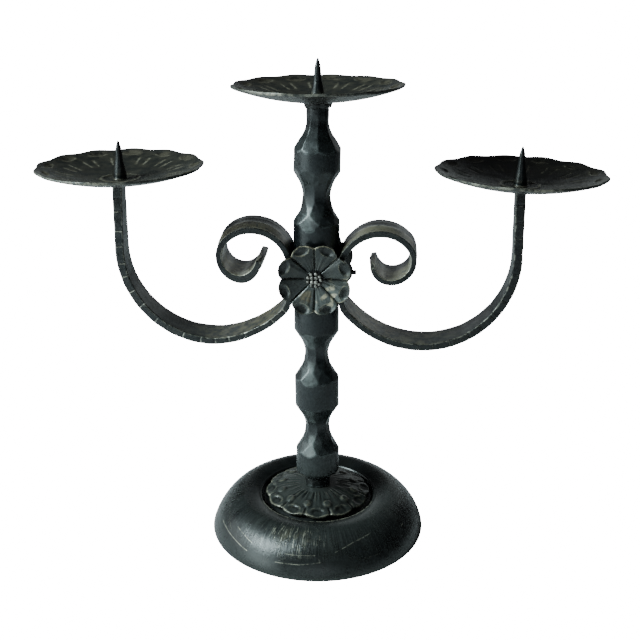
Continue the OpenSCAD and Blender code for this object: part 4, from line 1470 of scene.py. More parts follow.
@dataclass(frozen=True)
class ScrolledArm:
    """A flat bar swept along five joined arcs and drawn out to a fishtail."""

    hand: Hand
    offset: float = 126.5
    top: float = 244.0
    seat_z: float = 183.0
    seat_length: float = 20.2
    seat_x: float = 14.5
    knee_radius: float = 18.0
    knee_turn: float = 40.0
    lean: float = 1.0
    scroll_radius: float = 23.9
    scroll_turn: float = 137.4
    curl_radius: float = 13.9
    curl_turn: float = 210.0
    widths: tuple[float, ...] = (10.6, 23.0, 27.0, 27.0, 28.4, 35.6)
    thick: tuple[float, ...] = (6.3, 3.8, 3.8, 4.6, 4.3, 3.7)
    corner: float = 0.8
    cut_pitch: float = 10.8
    cut_width: float = 0.8
    stations: int = 820
    side_points: tuple[int, ...] = (5, 30, 5, 30)
    corner_points: int = 4

    @cached_property
    def route(self) -> Route:
        """Middle line of the bar with its normals, widths and thicknesses.

        The pieces are an upright, the sweep, the knee, a straight seat, the
        scroll and the curl. The sweep's radius brings the upright under the
        pan.

        Returns:
            The route.
        """
        turn, lean, scroll_turn, curl_turn = (
            math.radians(a) for a in (self.knee_turn, self.lean, self.scroll_turn, self.curl_turn)
        )
        bar_x = self.seat_x + self.thick[1] / 2
        low = self.seat_z - self.seat_length / 2
        high = self.seat_z + self.seat_length / 2
        knee = np.array([
            bar_x + self.knee_radius * (1 - math.cos(turn)),
            low - self.knee_radius * math.sin(turn),
        ])
        sweep = (self.offset - knee[0] + (self.top - knee[1]) * math.tan(lean)) / (
            math.cos(turn) + math.cos(lean) + (math.sin(turn) + math.sin(lean)) * math.tan(lean)
        )
        phi_knee = turn - math.pi
        phi_curl = -math.pi - scroll_turn
        scroll_mid = np.array([bar_x + self.scroll_radius, high])
        gap = self.scroll_radius - self.curl_radius
        middles = np.array([
            knee + sweep * np.array([math.cos(turn), math.sin(turn)]),
            [bar_x + self.knee_radius, low],
            scroll_mid,
            scroll_mid + gap * np.array([math.cos(phi_curl), math.sin(phi_curl)]),
        ])
        radii = np.array([sweep, self.knee_radius, self.scroll_radius, self.curl_radius])
        foot = middles[0] + sweep * np.array([math.cos(lean), math.sin(lean)])
        riser = (self.top - foot[1]) / math.cos(lean)
        swept = lean - phi_knee
        lengths = [riser, sweep * swept, self.knee_radius * turn, self.seat_length,
                   self.scroll_radius * scroll_turn, self.curl_radius * curl_turn]
        ends = np.cumsum(lengths)
        s = np.linspace(0.0, ends[-1], self.stations)
        phi = np.interp(
            s, [0.0, *ends],
            [lean, lean, phi_knee, -math.pi, -math.pi, phi_curl, phi_curl - curl_turn],
        )
        normal = np.stack([np.cos(phi), np.sin(phi)], -1)
        rounds = middles[:, None] + radii[:, None, None] * normal
        climb = np.array([-math.sin(lean), math.cos(lean)])
        up = foot + (riser - s)[:, None] * climb
        straight = np.stack([np.full_like(s, bar_x), low + (s - ends[2])], -1)
        choices = np.stack([up, *rounds[:2], straight, *rounds[2:]])
        piece = np.minimum(np.searchsorted(ends, s, side="right"), len(ends) - 1)
        line = choices[piece, np.arange(len(s))]
        bottom = ends[0] + lengths[1] * (math.pi / 2 + lean) / swept
        width = np.interp(s, [0.0, bottom, *ends[2:]], self.widths)
        middle = (ends[3] + ends[4]) / 2
        thick = np.interp(s, [0.0, ends[2], ends[3], middle, ends[4], ends[5]], self.thick)
        columns = [v[:, None] for v in (s, line[:, 0], line[:, 1], phi, width, thick)]
        return Route(*columns, ends[0], bottom, *ends[2:])

    @cached_property
    def section(self) -> tuple[Array, Array, Array, Array]:
        """Round-cornered section, as rows of ring points.

        Returns:
            Shares of the half width and of the half thickness, and the two
            parts of the outward direction.
        """
        corners = np.array([[1.0, 1.0], [1.0, -1.0], [-1.0, -1.0], [-1.0, 1.0]])
        signs, offsets = [], []
        for k, count in enumerate(self.side_points):
            here, following = corners[k], corners[(k + 1) % 4]
            a = np.radians(np.linspace(90.0 - 90.0 * k, -90.0 * k, self.corner_points))
            rounded = np.stack([np.cos(a), np.sin(a)], -1)
            u = np.linspace(0.0, 1.0, count + 2)[1:-1, None]
            signs += [np.tile(here, (len(a), 1)), here * (1 - u) + following * u]
            offsets += [rounded, np.tile(rounded[-1], (count, 1))]
        rows = np.concatenate([np.concatenate(signs), np.concatenate(offsets)], -1)
        return tuple(column[None, :] for column in rows.T)

    @property
    def across_share(self) -> Array:
        """Share of the half width at each point, the front being -1, with a slow swing."""
        return self.section[0] + 0.05 * np.sin(self.route.s / 9.0 + self.hand.seed)

    @property
    def front_half(self) -> Array:
        """How far a point is on the front half of the width."""
        return smooth_step(-0.06, -0.2, self.across_share)

    @property
    def curl(self) -> Array:
        """How far a station is on the scroll, from 0 to 1."""
        return smooth_step(self.route.seat + 4.0, self.route.seat + 22.0, self.route.s)

    @property
    def outer(self) -> Array:
        """How far a point looks to the bar's outer face."""
        return smooth_step(0.2, 0.9, self.section[3])

    def cuts(self, shift: float, width: float) -> Array:
        """Depth of the chisel cuts across the front edge, one about every 11 mm.

        Args:
            shift: how far along they are read.
            width: width of one cut.

        Returns:
            The depths, stations by ring points.
        """
        route = self.route
        signs, _, forward, _ = self.section
        rng = np.random.default_rng(self.hand.seed)
        places = np.arange(route.riser * 0.2, route.knee - 6.0, self.cut_pitch)
        places = places + rng.uniform(-1.6, 1.6, len(places))
        depths = rng.uniform(0.15, 0.42, len(places))
        total = sum(d * bump(route.s - c - shift, width) for c, d in zip(places, depths))
        return total * np.clip(-forward, 0.0, 1.0) * (signs < 0)

    def beaten_bar(self) -> tuple[Array, Array]:
        """Distances of the section's points from the middle line, after the blows.

        The section is scaled to the bar's width and thickness, and drawn in
        round the end. Soft dents lie on its faces, chisel cuts across its front
        edge, and a light ridge along the outer face of the scroll.

        Returns:
            The distances across the bar and out of it.
        """
        route, hand = self.route, self.hand
        wide, high, forward, outward = self.section
        s = route.s
        corner = self.corner * route.thick / self.thick[0]
        near = np.clip(1.0 - np.minimum(s, route.end - s) / corner, 0.0, 1.0)
        inset = corner * (1.0 - np.sqrt(1.0 - near**2 * 0.99)) * (s >= route.riser)
        across = wide * (route.width / 2 - corner) + forward * (corner - inset)
        out = high * (route.thick / 2 - corner) + outward * (corner - inset)

        soft = waves(hand.seed, 22, 3, np.arctan2(outward, forward), s / 17.0)
        w = self.across_share
        ridge = bump(w + 0.12, 0.1) + 0.6 * bump(w - 0.5, 0.12)
        fall = 0.3 * smooth_step(-0.2, -1.0, w) * (route.thick / 2)
        dents = 0.10 * np.minimum(soft, 0.4) + self.outer * self.curl * (0.14 * ridge - fall)
        cut = self.cuts(0.0, self.cut_width)
        far = 0.5 + 0.5 * wide
        across = across + forward * (dents - cut)
        across = across + hand.wider * far * bump(s - route.bottom - 22.0, 70.0)
        out = out + outward * (dents - 0.5 * cut)
        out = out + hand.scroll_flare * far * bump(s - route.scroll + 2.0, 18.0)
        out = out + hand.tip_bulge * bump(s - route.end + 15.0, 13.0) * (high > 0)
        return across, out

    def shell(self) -> Shell:
        """Sweeps the beaten section along the route, bent as the real arm is.

        A ring point is the route's point plus the distance across along Y and
        the distance out along the normal.

        Returns:
            The arm with its marks.
        """
        route, hand, side = self.route, self.hand, self.hand.side.value
        s, curl = route.s, self.curl
        across, out = self.beaten_bar()
        last = smooth_step(route.end - 26.0, route.end, s)
        x = route.x + np.cos(route.phi) * out + 1.4 * last
        x = x + 0.3 * smooth_step(route.riser + 60.0, route.riser, s)
        x = x + hand.curl_shift[0] * curl
        x = x + hand.sweep_shift[0] * bump(s - route.riser - 45.0, 45.0)
        z = route.z + np.sin(route.phi) * out + hand.tip_rise * last
        z = z + hand.curl_shift[1] * curl
        z = z + hand.sweep_shift[1] * bump(s - route.riser - 55.0, 45.0)
        z = np.where(s < route.riser, np.minimum(z, self.top), z)
        x = x * side + bend_x(z)
        for at, reach, height in hand.raises:
            z = z + height * bump(x - at, reach) * (s < route.knee)
        middle = np.concatenate([route.x * side, 0.0 * route.x, route.z], -1)
        middle[:, 0] += bend_x(middle[:, 2])
        shell = closed_tube(np.stack([x, across, z], -1), middle[[0, -1]])
        shell.mark_edges(0.35)
        self.dress(shell)
        return shell

    def dress(self, shell: Shell) -> None:
        """Marks what is rubbed: the scroll, the front's inner corner and the tip,
        with painted light on the front half of the scroll and painted shade on its far half.

        Args:
            shell: the arm.
        """
        route, hand, w, curl, outer = (
            self.route, self.hand, self.across_share, self.curl, self.outer
        )
        wide, _, forward, outward = self.section
        s, seed, front_half = route.s, hand.seed, self.front_half
        inner = smooth_step(0.2, 0.9, -outward)
        frontal = smooth_step(0.2, 0.8, -forward)
        low = bump(s - route.bottom - 12.0, 48.0)
        near = bump(s - route.knee + 22.0, 22.0)
        ring = np.arctan2(outward, forward)
        streaks = waves(seed + 3, 14, 0, ring, w * 3.2 + s / 140.0)
        streaks = streaks + 0.5 * waves(seed + 5, 8, 0, ring, s / 30.0)
        streaks = smooth_step(-0.2, 1.4, streaks)

        corner = np.clip(4.0 * inner * (1.0 - inner) + inner * frontal, 0.0, 1.0)
        corner = corner * (wide < 0) * smooth_step(0.05, 0.35, -forward)
        tip = inner * smooth_step(route.scroll + 8.0, route.end - 14.0, s)
        tip = tip * smooth_step(0.9, 0.1, w) * hand.tip_shine
        # The scroll's front half is rubbed in streaks; the larger shares on the left arm also
        # paint its highlights.
        scroll_wear = (
            outer * (0.8 * bump(w + 0.12, 0.09) + 0.35 * streaks * front_half)
            + 0.15 * frontal * streaks + hand.inner_shine * inner * streaks * front_half
        )
        worn_and_lit = corner * (0.6 * low + curl) + hand.cut_shine * self.cuts(0.8, 0.35)
        worn_and_lit = worn_and_lit + curl * scroll_wear + tip * (0.4 + 0.5 * streaks)
        tan = inner * (0.35 * low + 0.3 * near + curl * smooth_step(0.6, -0.4, w))
        tan = tan + outer * (0.1 + 0.8 * curl * front_half) + 0.9 * tip
        # Painted light: the front half of the scroll is made pale, more on the left arm.
        pale = curl * front_half * (0.8 * outer + hand.inner_light * inner)
        pale = pale + 0.7 * tip + inner * (0.3 * near + 0.25 * low)
        shell.mark(worn_and_lit=worn_and_lit, tan=tan, pale=pale)
        # Painted shade: the far half of the scroll's outer face is darkened, and on the right arm
        # the riser.
        shade = hand.riser_shade * smooth_step(route.bottom, route.bottom - 40.0, s)
        shell.deepen(0.45 * curl * outer * smooth_step(0.0, 0.3, w) + shade)


@dataclass(frozen=True)
class Flower:
    """A shallow pressed cup with eight grooved and scooped petals."""

    radius: float = 24.2
    rise: float = 4.4
    sheet: float = 1.8
    seat: float = 5.0
    petals: int = 8
    petal_radius: float = 9.5
    wobble: float = 0.22
    groove_width: float = 0.5
    pillow_sunk: float = 0.5
    scoop_ring: float = 21.3
    scoop_squash: float = 0.8
    scoop_width: float = 4.5
    scoop_depth: float = 1.7
    lip_height: float = 0.3
    wrinkles: float = 0.08
    rim_wave: float = 0.3
    highest: float = 5.75
    columns: int = 368

    def shell(self, seed: int) -> Shell:
        """Cup with lobed outline, V grooves between the petals and end scoops.

        Args:
            seed: seed of the small differences between the petals.

        Returns:
            The flower, its axis along Z.
        """
        cup = Cup(self.radius, self.rise, self.sheet, self.seat)
        angle = around(self.columns)[None, :]
        pitch = math.tau / self.petals
        petal = angle - pitch / 2
        radii, share = sheet_rows(self.radius, 0.4, 0.8)
        outline = lobed_outline(petal, self.radius, self.petal_radius, self.petals)
        outline = outline - np.abs(self.wobble * ripple(seed, 6, 9, angle))
        r = radii - (self.radius - outline) * smooth_step(9.0, 23.0, radii)
        middle = turn_gap(petal, 0.0, pitch)
        groove = np.abs(turn_gap(petal, pitch / 2, pitch) * r)
        depth = smooth_step(4.6, 8.0, r)
        scoop = np.hypot((r - self.scoop_ring - 0.2) / self.scoop_squash, middle * r)
        within = smooth_step(0.8, -1.2, r - self.scoop_ring)
        pillow = 1.0 - (2.0 * middle / pitch) ** 2 - self.pillow_sunk
        relief = (
            pillow * smooth_step(5.0, 17.0, r)
            - depth * np.exp(-((groove / self.groove_width) ** 1.6))
            - self.scoop_depth * mound(scoop, self.scoop_width)
            + self.lip_height * bump(scoop - 5.1, 0.9) * within
            + self.wrinkles * waves(seed + 1, 12, 40, angle, radii / 40.0)
        )
        z = cup.height(r, share) + relief * np.where(share > 0.9, 1.0, share * 0.6)
        z = z + self.rim_wave * ripple(seed + 2, 5, 6, angle) * smooth_step(14.0, 24.0, r)
        shell = lathe(r, np.clip(z, 0.0, self.highest), (0.0, self.sheet))

        on_top = share > 0.9
        lip = bump(scoop - 4.9, 0.6) * within
        rim = bump(radii - self.radius + 0.4, 0.7)
        # The second mask marks the lower right petals, which face the key lamp: the rubbed metal,
        # tan and pale laid there paint their highlight and light as well as wear.
        gilt, lit_lower_right = toward(angle, 108.0, 0.62), toward(angle, -45.0, 0.8)
        patchy = smooth_step(-0.5, 1.2, waves(seed + 4, 9, 9, angle, radii / 11.0))
        inside = smooth_step(0.9, 0.5, mound(scoop, 4.3))
        # Painted highlight: light lines along the grooves of the lit lower right petals.
        side_line = 0.7 * bump(groove - 1.1, 0.5)
        spot = toward(angle, -113.0, 0.3) * bump(r - 12.5, 4.0)
        shell.mark_edges(0.3)
        shell.mark(
            tan=on_top * (
                rim * (0.25 + 0.9 * gilt) + 0.25 * lip * (gilt + lit_lower_right)
                + inside * patchy * (0.38 * lit_lower_right + 0.08) + 0.9 * spot
            ),
            worn_and_lit=on_top * (
                rim * (0.1 + 0.6 * gilt + 0.2 * lit_lower_right * patchy)
                + lip * (0.14 + 0.3 * gilt + 0.3 * lit_lower_right)
                + smooth_step(7.0, 11.0, r) * lit_lower_right * patchy * (0.75 * inside + side_line)
            ),
            # Painted light: the scoops are made pale, most on the lower petals that face the key
            # lamp.
            pale=on_top * inside * (1.4 * toward(angle, -70.0, 0.9) + 0.15),
        )
        shell.marks["hollow_and_shade"] *= 0.6
        shell.deepen(on_top * bump(groove, self.groove_width) * depth)
        return shell


def ball(middle: tuple[float, float, float], radius: float, flat: float) -> Shell:
    """Closed ball squashed along Z.

    Args:
        middle: its middle.
        radius: its radius.
        flat: share of the height that is kept.

    Returns:
        The ball.
    """
    rows = np.linspace(0.0, math.pi, 16)[1:-1]
    line = radius * np.stack([np.sin(rows), -flat * np.cos(rows)], -1)
    shell = lathe(*spun(line, 28), (-flat * radius, flat * radius))
    shell.points = shell.points + np.array(middle)
    return shell


@dataclass(frozen=True)
class BerryRivet:
    """A rivet whose head is a cluster of small beads."""

    head_radius: float = 5.7
    head_height: float = 1.3
    floor: float = 1.77
    bead: float = 1.45
    bead_flat: float = 0.95
    shank_radius: float = 1.8
    shank: float = 7.0
    outer_beads: int = 9
    inner_beads: int = 4
    columns: int = 48

    def shell(self, seed: int) -> Shell:
        """Beads on two rings over a round head with its shank.

        Args:
            seed: seed of the beads' small differences.

        Returns:
            The rivet, its axis along Z.
        """
        rng = np.random.default_rng(seed)
        top = self.floor + self.head_height
        outline = np.array([
            [0.1, -self.shank], [self.shank_radius, -self.shank],
            [self.shank_radius, self.floor], [self.head_radius, self.floor],
            [self.head_radius, top], [0.1, top],
        ])
        line = resampled(outline, 0.25, 0.3)
        shells = [lathe(*spun(line, self.columns), (-self.shank, top))]
        rings = (
            (self.outer_beads, self.head_radius - self.bead, 0.2, 0.0),
            (self.inner_beads, self.head_radius * 0.34, 0.4, 0.5),
        )
        for count, ring, sink, turn in rings:
            for k in range(count):
                a = math.tau * (k + turn) / count + rng.uniform(-0.08, 0.08)
                size = self.bead * rng.uniform(0.9, 1.0)
                out = ring * rng.uniform(0.94, 1.0)
                z = top + 2.0 * self.bead * sink - 0.12 * rng.uniform(0.0, 1.0)
                at = (out * math.cos(a), out * math.sin(a), z)
                shells.append(ball(at, size, self.bead_flat))
        shell = joined(shells)
        z = shell.points[:, 2]
        # The bead tops get rubbed metal, which also paints their highlights; the low parts between
        # the beads are darkened.
        shell.marks = {
            "worn_and_lit": 0.6 * smooth_step(top + 1.0, top + 1.9, z),
            "tan": 0.2 * smooth_step(top, top + 1.0, z),
            "hollow_and_shade": smooth_step(top + 0.8, top + 0.1, z) * (z > self.floor),
        }
        return shell


@dataclass(frozen=True)
class Pan:
    """A shallow bowl of sheet with a hammered rim of thirteen corners."""

    radius: float = 53.3
    depth: float = 11.2
    sheet: float = 1.6
    seat: float = 6.5
    corners: int = 13
    corner_round: float = 0.09
    flat_cut: float = 1.445
    dent_ring: float = 47.2
    dent_length: float = 2.6
    dent_width: float = 5.4
    dent_depth: float = 0.7
    lip_height: float = 0.3
    stroke_turn: float = 5.0
    stroke_depth: float = 0.22
    ring: float = 12.0
    ring_width: float = 3.0
    ring_rise: float = 0.6
    unevenness: float = 0.1
    rim_wave: float = 0.08
    columns: int = 416

    def shell(self, seed: int, tone: float) -> Shell:
        """Bowl whose rim dips between the corners, with dents, strokes and a ring.

        Args:
            seed: seed of the small differences between the corners.
            tone: how light the pan is painted: above 0 paler and fully
                marked, below 0 darker and less marked; painted light on the pans
                towards the lamps, painted shade on the one away from them.

        Returns:
            The pan, its axis along Z.
        """
        cup = Cup(self.radius, self.depth - self.sheet, self.sheet, self.seat)
        rng = np.random.default_rng(seed)
        angle = around(self.columns)[None, :]
        pitch = math.tau / self.corners
        half = pitch / 2
        radii, share = sheet_rows(self.radius, 0.62, 0.55)
        corner = turn_gap(angle, 0.0, pitch)
        away = half - (np.hypot(corner, self.corner_round) - self.corner_round)
        cut = (1.0 - math.cos(half) / np.cos(away)) / (1.0 - math.cos(half))
        r = radii - self.flat_cut * cut * smooth_step(38.0, 52.0, radii)

        index = np.round(angle / pitch).astype(int) % self.corners
        size = rng.uniform(0.75, 1.15, self.corners)[index]
        shift = rng.uniform(-0.5, 0.5, self.corners)[index]
        out = (r - self.dent_ring - shift) / self.dent_length
        dent = np.hypot(out, corner * r / self.dent_width)
        lip = bump(dent - 1.05, 0.22) * smooth_step(0.3, -0.5, out)
        from_flat = np.abs(turn_gap(angle, half, pitch)) - math.radians(self.stroke_turn)
        stroke = bump(from_flat * r, 0.8) * smooth_step(29.0, 32.0, r) * smooth_step(42.0, 39.5, r)
        ring = np.clip(1.0 - ((r - self.ring) / (self.ring_width / 2)) ** 2, 0.0, 1.0)
        relief = (
            self.lip_height * lip - self.stroke_depth * stroke + self.ring_rise * ring
            - self.dent_depth * size * mound(dent, 1.0) * smooth_step(52.0, 49.0, radii)
            + self.unevenness * waves(seed + 3, 20, 14, angle, radii / 24.0)
        )
        z = cup.height(r, share) + relief * np.where(share > 0.9, 1.0, share * 0.5)
        z = z + self.rim_wave * ripple(seed, 5, 4, angle) * smooth_step(25.0, 52.0, r)
        shell = lathe(r, z, (0.0, float(cup.floor(np.array(0.0)))))

        on_top = share > 0.9
        rim = bump(radii - self.radius + 0.1, 0.65)
        # Rubbed a little all round the rim, with a painted highlight on its front left, towards
        # the key lamp.
        bare_and_highlit = 0.6 + 0.4 * smooth_step(-0.6, 0.8, ripple(seed + 7, 8, 9, angle))
        bare_and_highlit = bare_and_highlit * (0.1 + 0.5 * toward(angle, -122.0, 0.9))
        # Painted light and shade: a positive tone makes the pan paler and keeps its marks; a
        # negative one darkens it all over and dims its marks.
        pale_and_lit, thick = max(tone, 0.0), max(-tone, 0.0)
        marked = 1.0 if tone > 0.0 else 0.4
        shell.mark_edges()
        shell.marks["edge"] *= 0.4 * (1.0 - shell.at_points(0.8 * (share < 0.1)))
        shell.marks["hollow_and_shade"] = np.maximum(shell.marks["hollow_and_shade"], thick)
        shell.mark(
            tan=on_top * (
                0.12 + 0.5 * pale_and_lit + 0.5 * bump(r - self.ring, 1.3)
                + marked * (stroke + 0.5 * lip + 0.7 * size * bump(dent, 1.0))
            ),
            worn_and_lit=on_top * marked * (0.4 * lip + 0.7 * stroke) + bare_and_highlit * rim,
            pale=0.6 * on_top * pale_and_lit + 0.4 * rim,
        )
        return shell


@dataclass(frozen=True)
class Spike:
    """A turned cone on a flange, with a tenon below."""

    tenon_radius: float = 1.5
    tenon: float = 9.0
    base: float = 1.5
    flange_radius: float = 4.8
    flange: float = 1.0
    root_radius: float = 3.6
    waist_radius: float = 2.3
    waist_height: float = 10.8
    point_radius: float = 1.61
    point_height: float = 4.2
    tip: float = 25.6
    tip_radius: float = 0.4
    columns: int = 72

    def shell(self, seed: int) -> Shell:
        """Turned profile with slight file marks.

        Args:
            seed: seed of the unevenness.

        Returns:
            The spike, its axis along Z.
        """
        top, end = self.base + self.flange, self.tip + self.tip_radius
        outline = np.array([
            [0.1, -self.tenon], [self.tenon_radius, -self.tenon],
            [self.tenon_radius, self.base], [self.flange_radius, self.base],
            [self.flange_radius, self.base + self.flange / 2], [self.root_radius, top],
            [self.waist_radius, self.waist_height + top],
            [self.point_radius, self.tip - self.point_height],
            [self.tip_radius, self.tip], [0.05, end],
        ])
        r, z = spun(resampled(outline, 0.3, 0.35), self.columns)
        filed = 0.05 * waves(seed, 8, 4, around(self.columns)[None, :], z / 9.0)
        r = r + smooth_step(top, top + 3.0, z) * (0.2 - filed * r / self.root_radius)
        r = r + 0.5 * smooth_step(top + 13.0, top + 1.0, z) * smooth_step(top - 0.3, top, z)
        shell = lathe(r, z, (-self.tenon, end))
        shell.mark_edges()
        return shell


@dataclass(frozen=True)
class Weld:
    """A bead of weld round a bar under a pan."""

    half_x: float
    half_y: float
    round_power: float
    bead: float
    height: float
    beads: int
    columns: int = 220

    def shell(self, seed: int) -> Shell:
        """Fillet of overlapping beads round a rounded or rectangular bar.

        The bar's outline is |x / a|^p + |y / b|^p = 1. The fillet is a quarter
        of a swollen round whose size comes and goes with the beads.

        Args:
            seed: seed of the beads' differences.

        Returns:
            The weld, its top at height 0.
        """
        angle = around(self.columns)[None, :]
        p = self.round_power
        cos, sin = np.cos(angle), np.sin(angle)
        bar = (np.abs(cos / self.half_x) ** p + np.abs(sin / self.half_y) ** p) ** (-1 / p)
        bulge = 0.5 + 0.5 * np.cos(angle * self.beads + 0.5 * ripple(seed, 3, 4, angle))
        swell = 0.5 + 0.36 * bulge + 0.1 * ripple(seed + 1, 7, 13, angle)
        swell = np.minimum(swell, 1.0)
        low = self.height * (0.7 + 0.3 * swell)
        a = np.linspace(0.0, math.pi / 2, 14)[:, None]
        inner = np.linspace(1.0, 0.0, 6)[1:, None]
        r = np.concatenate([bar + self.bead * swell * np.cos(a) ** 0.8, bar + 0.0 * inner])
        z = np.concatenate([-low * np.sin(a), -low * inner])
        shell = closed_ring(np.stack([r * cos, r * sin, z], -1))
        shell.mark_edges(0.3, 0.15)
        shell.mark(hollow_and_shade=0.55 + 0.3 * np.sin(3.0 * self.beads * angle))
        return shell


# Studio


@dataclass(frozen=True)
class Lamp:
    """One area light that looks at the holder."""

    name: str
    place: tuple[float, float, float]
    size: tuple[float, float]
    power: float
    colour: Colour
    aim: tuple[float, float, float] = (0.0, 0.0, 0.16)

    def build(self) -> bpy.types.Object:
        """Makes the light and turns it to its aim.

        Returns:
            The light.
        """
        data = bpy.data.lights.new(self.name, "AREA")
        data.shape = "RECTANGLE"
        data.size, data.size_y = self.size
        data.energy = self.power
        data.color = self.colour
        lamp = bpy.data.objects.new(self.name, data)
        bpy.context.scene.collection.objects.link(lamp)
        lamp.location = self.place
        back = np.array(self.place) - np.array(self.aim)
        back = back / np.linalg.norm(back)
        side = np.cross([0.0, 0.0, 1.0], back)
        side = side / np.linalg.norm(side)
        lamp.rotation_euler = matrix_euler(side, np.cross(back, side), back)
        return lamp


def matrix_euler(side: Array, up: Array, back: Array) -> tuple[float, float, float]:
    """XYZ Euler angles of the frame with these three unit axes as columns.

    Args:
        side: X axis.
        up: Y axis.
        back: Z axis.

    Returns:
        The angles in radians.
    """
    pitch = -math.asin(max(-1.0, min(1.0, side[2])))
    return math.atan2(up[2], back[2]), pitch, math.atan2(side[1], side[0])


@dataclass(frozen=True)
class Studio:
    """A pale floor, soft lights and the camera at the photograph's place."""

    floor_size: float = 24.0
    floor_glow: float = 22.0
    glow_share: float = 0.93
    room_light: float = 0.066
    room_glow: float = 20.0
    lens: float = 55.72
    sensor: float = 36.0
    camera_place: tuple[float, float, float] = (0.0481, -0.6111, 0.3838)
    camera_tilt: float = 69.37
    camera_turn: float = 4.5
    camera_shift: float = 0.0036
    camera_reach: float = 100.0
    lamps: tuple[Lamp, ...] = (
        Lamp("key", (-1.12, -0.52, 0.92), (0.5, 0.5), 35.0, (0.82, 1.0, 1.02)),
        Lamp("low_left", (-1.2, -0.75, 0.28), (0.9, 0.5), 6.5, (0.85, 1.0, 1.0)),
        Lamp("far_left", (-1.45, 0.1, 0.45), (0.8, 0.6), 4.6, (0.9, 1.0, 1.0)),
        Lamp("front", (0.1, -1.7, 0.4), (1.0, 0.3), 1.2, (0.85, 0.95, 1.0)),
        Lamp("back", (0.2, 1.7, 0.4), (1.8, 0.5), 1.9, (0.9, 1.0, 1.0)),
    )

    def floor(self) -> bpy.types.Object:
        """Makes the floor: pale, and even white to the camera itself.

        Returns:
            The floor.
        """
        half = self.floor_size / 2
        corners = [(-half, -half, 0.0), (half, -half, 0.0), (half, half, 0.0), (-half, half, 0.0)]
        mesh = bpy.data.meshes.new("floor")
        mesh.from_pydata(corners, [], [(0, 1, 2, 3)])
        material = bpy.data.materials.new("pale_floor")
        t = Tree.of(material)
        matt = {"Base Color": (0.86, 0.86, 0.86), "Roughness": 0.9}
        glow = {"Color": (1.0, 1.0, 1.0), "Strength": self.floor_glow}
        path = t.add("ShaderNodeLightPath")
        mix = t.add("ShaderNodeMixShader", {
            0: t.times(path.outputs["Is Camera Ray"], self.glow_share),
            1: t.add("ShaderNodeBsdfPrincipled", matt).outputs["BSDF"],
            2: t.add("ShaderNodeEmission", glow).outputs["Emission"],
        })
        t.add("ShaderNodeOutputMaterial", {"Surface": mix.outputs["Shader"]})
        mesh.materials.append(material)
        floor = bpy.data.objects.new("floor", mesh)
        bpy.context.scene.collection.objects.link(floor)
        return floor

    def sky(self) -> None:
        """Makes the even light of the room, white where the camera sees it."""
        world = bpy.data.worlds.new("room")
        t = Tree.of(world)
        dim = {"Color": (0.9, 0.95, 1.0), "Strength": self.room_light}
        white = {"Color": (1.0, 1.0, 1.0), "Strength": self.room_glow}
        mix = t.add("ShaderNodeMixShader", {
            0: t.add("ShaderNodeLightPath").outputs["Is Camera Ray"],
            1: t.add("ShaderNodeBackground", dim).outputs["Background"],
            2: t.add("ShaderNodeBackground", white).outputs["Background"],
        })
        t.add("ShaderNodeOutputWorld", {"Surface": mix.outputs["Shader"]})
        bpy.context.scene.world = world

    def camera(self) -> bpy.types.Object:
        """Makes the scene's camera at the photograph's place.

        Returns:
            The camera.
        """
        data = bpy.data.cameras.new("camera")
        data.sensor_fit = "AUTO"
        data.sensor_width = self.sensor
        data.lens = self.lens
        data.shift_x = self.camera_shift
        data.clip_end = self.camera_reach
        camera = bpy.data.objects.new("camera", data)
        camera.location = self.camera_place
        camera.rotation_euler = (
            math.radians(self.camera_tilt), 0.0, math.radians(self.camera_turn)
        )
        bpy.context.scene.collection.objects.link(camera)
        bpy.context.scene.camera = camera
        return camera

    def build(self) -> None:
        """Makes the floor, the room, the lights and the camera."""
        self.floor()
        self.sky()
        for lamp in self.lamps:
            lamp.build()
        self.camera()


# The holder


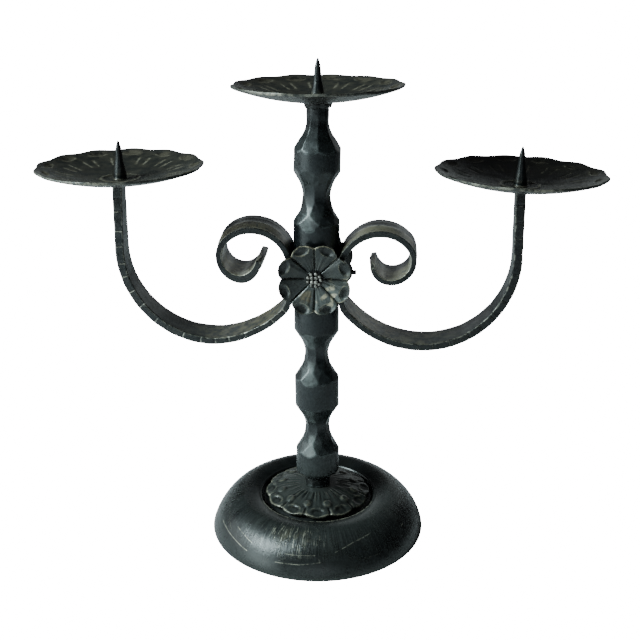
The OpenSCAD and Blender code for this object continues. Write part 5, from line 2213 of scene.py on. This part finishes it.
@dataclass
class Holder:
    """All pieces of the candle holder."""

    effects: Effects
    finishes: Finishes = Finishes()
    arm_height: float = 244.0
    pan_offset: float = 126.5
    stem_top: float = 295.6
    flower_seat: float = 14.5
    flower_height: float = 186.8
    made: dict[str, bpy.types.Material] = field(default_factory=dict)

    def finish(self, label: str) -> bpy.types.Material:
        """Material of a finish, made the first time that it is asked for.

        Args:
            label: the finish's name in Finishes.

        Returns:
            The material.
        """
        if label not in self.made:
            self.made[label] = getattr(self.finishes, label).build(self.effects)
        return self.made[label]

    def base(self) -> None:
        """Makes the dish and the rosette on it."""
        to_piece("base_dish_skin", BaseDish().shell(), self.finish("base"),
                 "base_dish")
        to_piece("base_rosette_skin", BaseRosette().shell(), self.finish("rosette"),
                 "base_rosette")

    def stem(self) -> None:
        """Makes the stem and the weld under its pan."""
        to_piece("stem_skin", Stem().shell(), self.finish("stem"), "stem")
        weld = Weld(7.15, 7.15, round_power=2.0, bead=2.5, height=4.0, beads=7)
        to_piece("top_weld_skin", Place.upright(0.0, self.stem_top).put(weld.shell(61)),
                 self.finish("weld"), "top_weld")

    def arms(self) -> None:
        """Makes both arms and the welds at their tops."""
        for hand, label in ((LEFT_HAND, "left"), (RIGHT_HAND, "right")):
            to_piece(f"{label}_arm_skin", ScrolledArm(hand).shell(), self.finish("arm"),
                     f"{label}_arm")
            side = hand.side.value
            weld = Weld(3.25, 5.45, round_power=6.0, bead=2.2, height=2.2, beads=6)
            place = Place.upright(side * self.pan_offset - 0.6, self.arm_height)
            to_piece(f"{label}_weld_skin", place.put(weld.shell(70 + side)),
                     self.finish("weld"), f"{label}_weld")

    def flowers(self) -> None:
        """Makes the front and the rear flower with their rivets."""
        for facing, label, seed in ((Facing.FRONT, "front", 5), (Facing.REAR, "rear", 55)):
            place = Place.on_stem(facing, self.flower_seat, self.flower_height)
            to_piece(f"{label}_flower_skin", place.put(Flower().shell(seed)),
                     self.finish("flower"), f"{label}_flower")
            to_piece(f"{label}_rivet_skin", place.put(BerryRivet().shell(seed)),
                     self.finish("rivet"), f"{label}_flower_rivet")

    def pans(self) -> None:
        """Makes the three pans and their spikes."""
        # The last number is the tone: painted lighter on the left and top pans, painted shade on
        # the right pan, away from the lamps.
        spots = (
            ("left", 0.4 - self.pan_offset, self.arm_height, 12.0, (0.38, 0.16), 0.32),
            ("right", self.pan_offset - 0.8, self.arm_height, 12.0, (-1.2, -0.8), -0.35),
            ("top", 0.0, self.stem_top, 1.0, (0.42, -0.82), 0.4),
        )
        for seed, (label, x, z, turn, tilt, tone) in enumerate(spots, 80):
            place = Place.upright(x, z, turn)
            to_piece(f"{label}_pan_skin", place.tilted(*tilt).put(Pan().shell(seed, tone)),
                     self.finish("pan"), f"{label}_pan")
            to_piece(f"{label}_spike_skin", place.put(Spike().shell(seed)),
                     self.finish("spike"), f"{label}_spike")

    def fasteners(self) -> None:
        """Gives the bolt, washer, screw and nut their finish."""
        for name in ("base_bolt", "base_washer", "tie_screw", "tie_nut"):
            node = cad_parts[name]
            node.data.materials.clear()
            node.data.materials.append(self.finish("fastener"))
            LOG.info("%s: kept, finish given", name)


def main() -> None:
    """Builds the pieces in order, then the floor, lights and camera."""
    logging.basicConfig(level=logging.INFO, format="%(message)s")
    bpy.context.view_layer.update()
    holder = Holder(Effects())
    holder.base()
    holder.stem()
    holder.arms()
    holder.flowers()
    holder.pans()
    holder.fasteners()
    Studio().build()


if __name__ == "__main__":
    main()
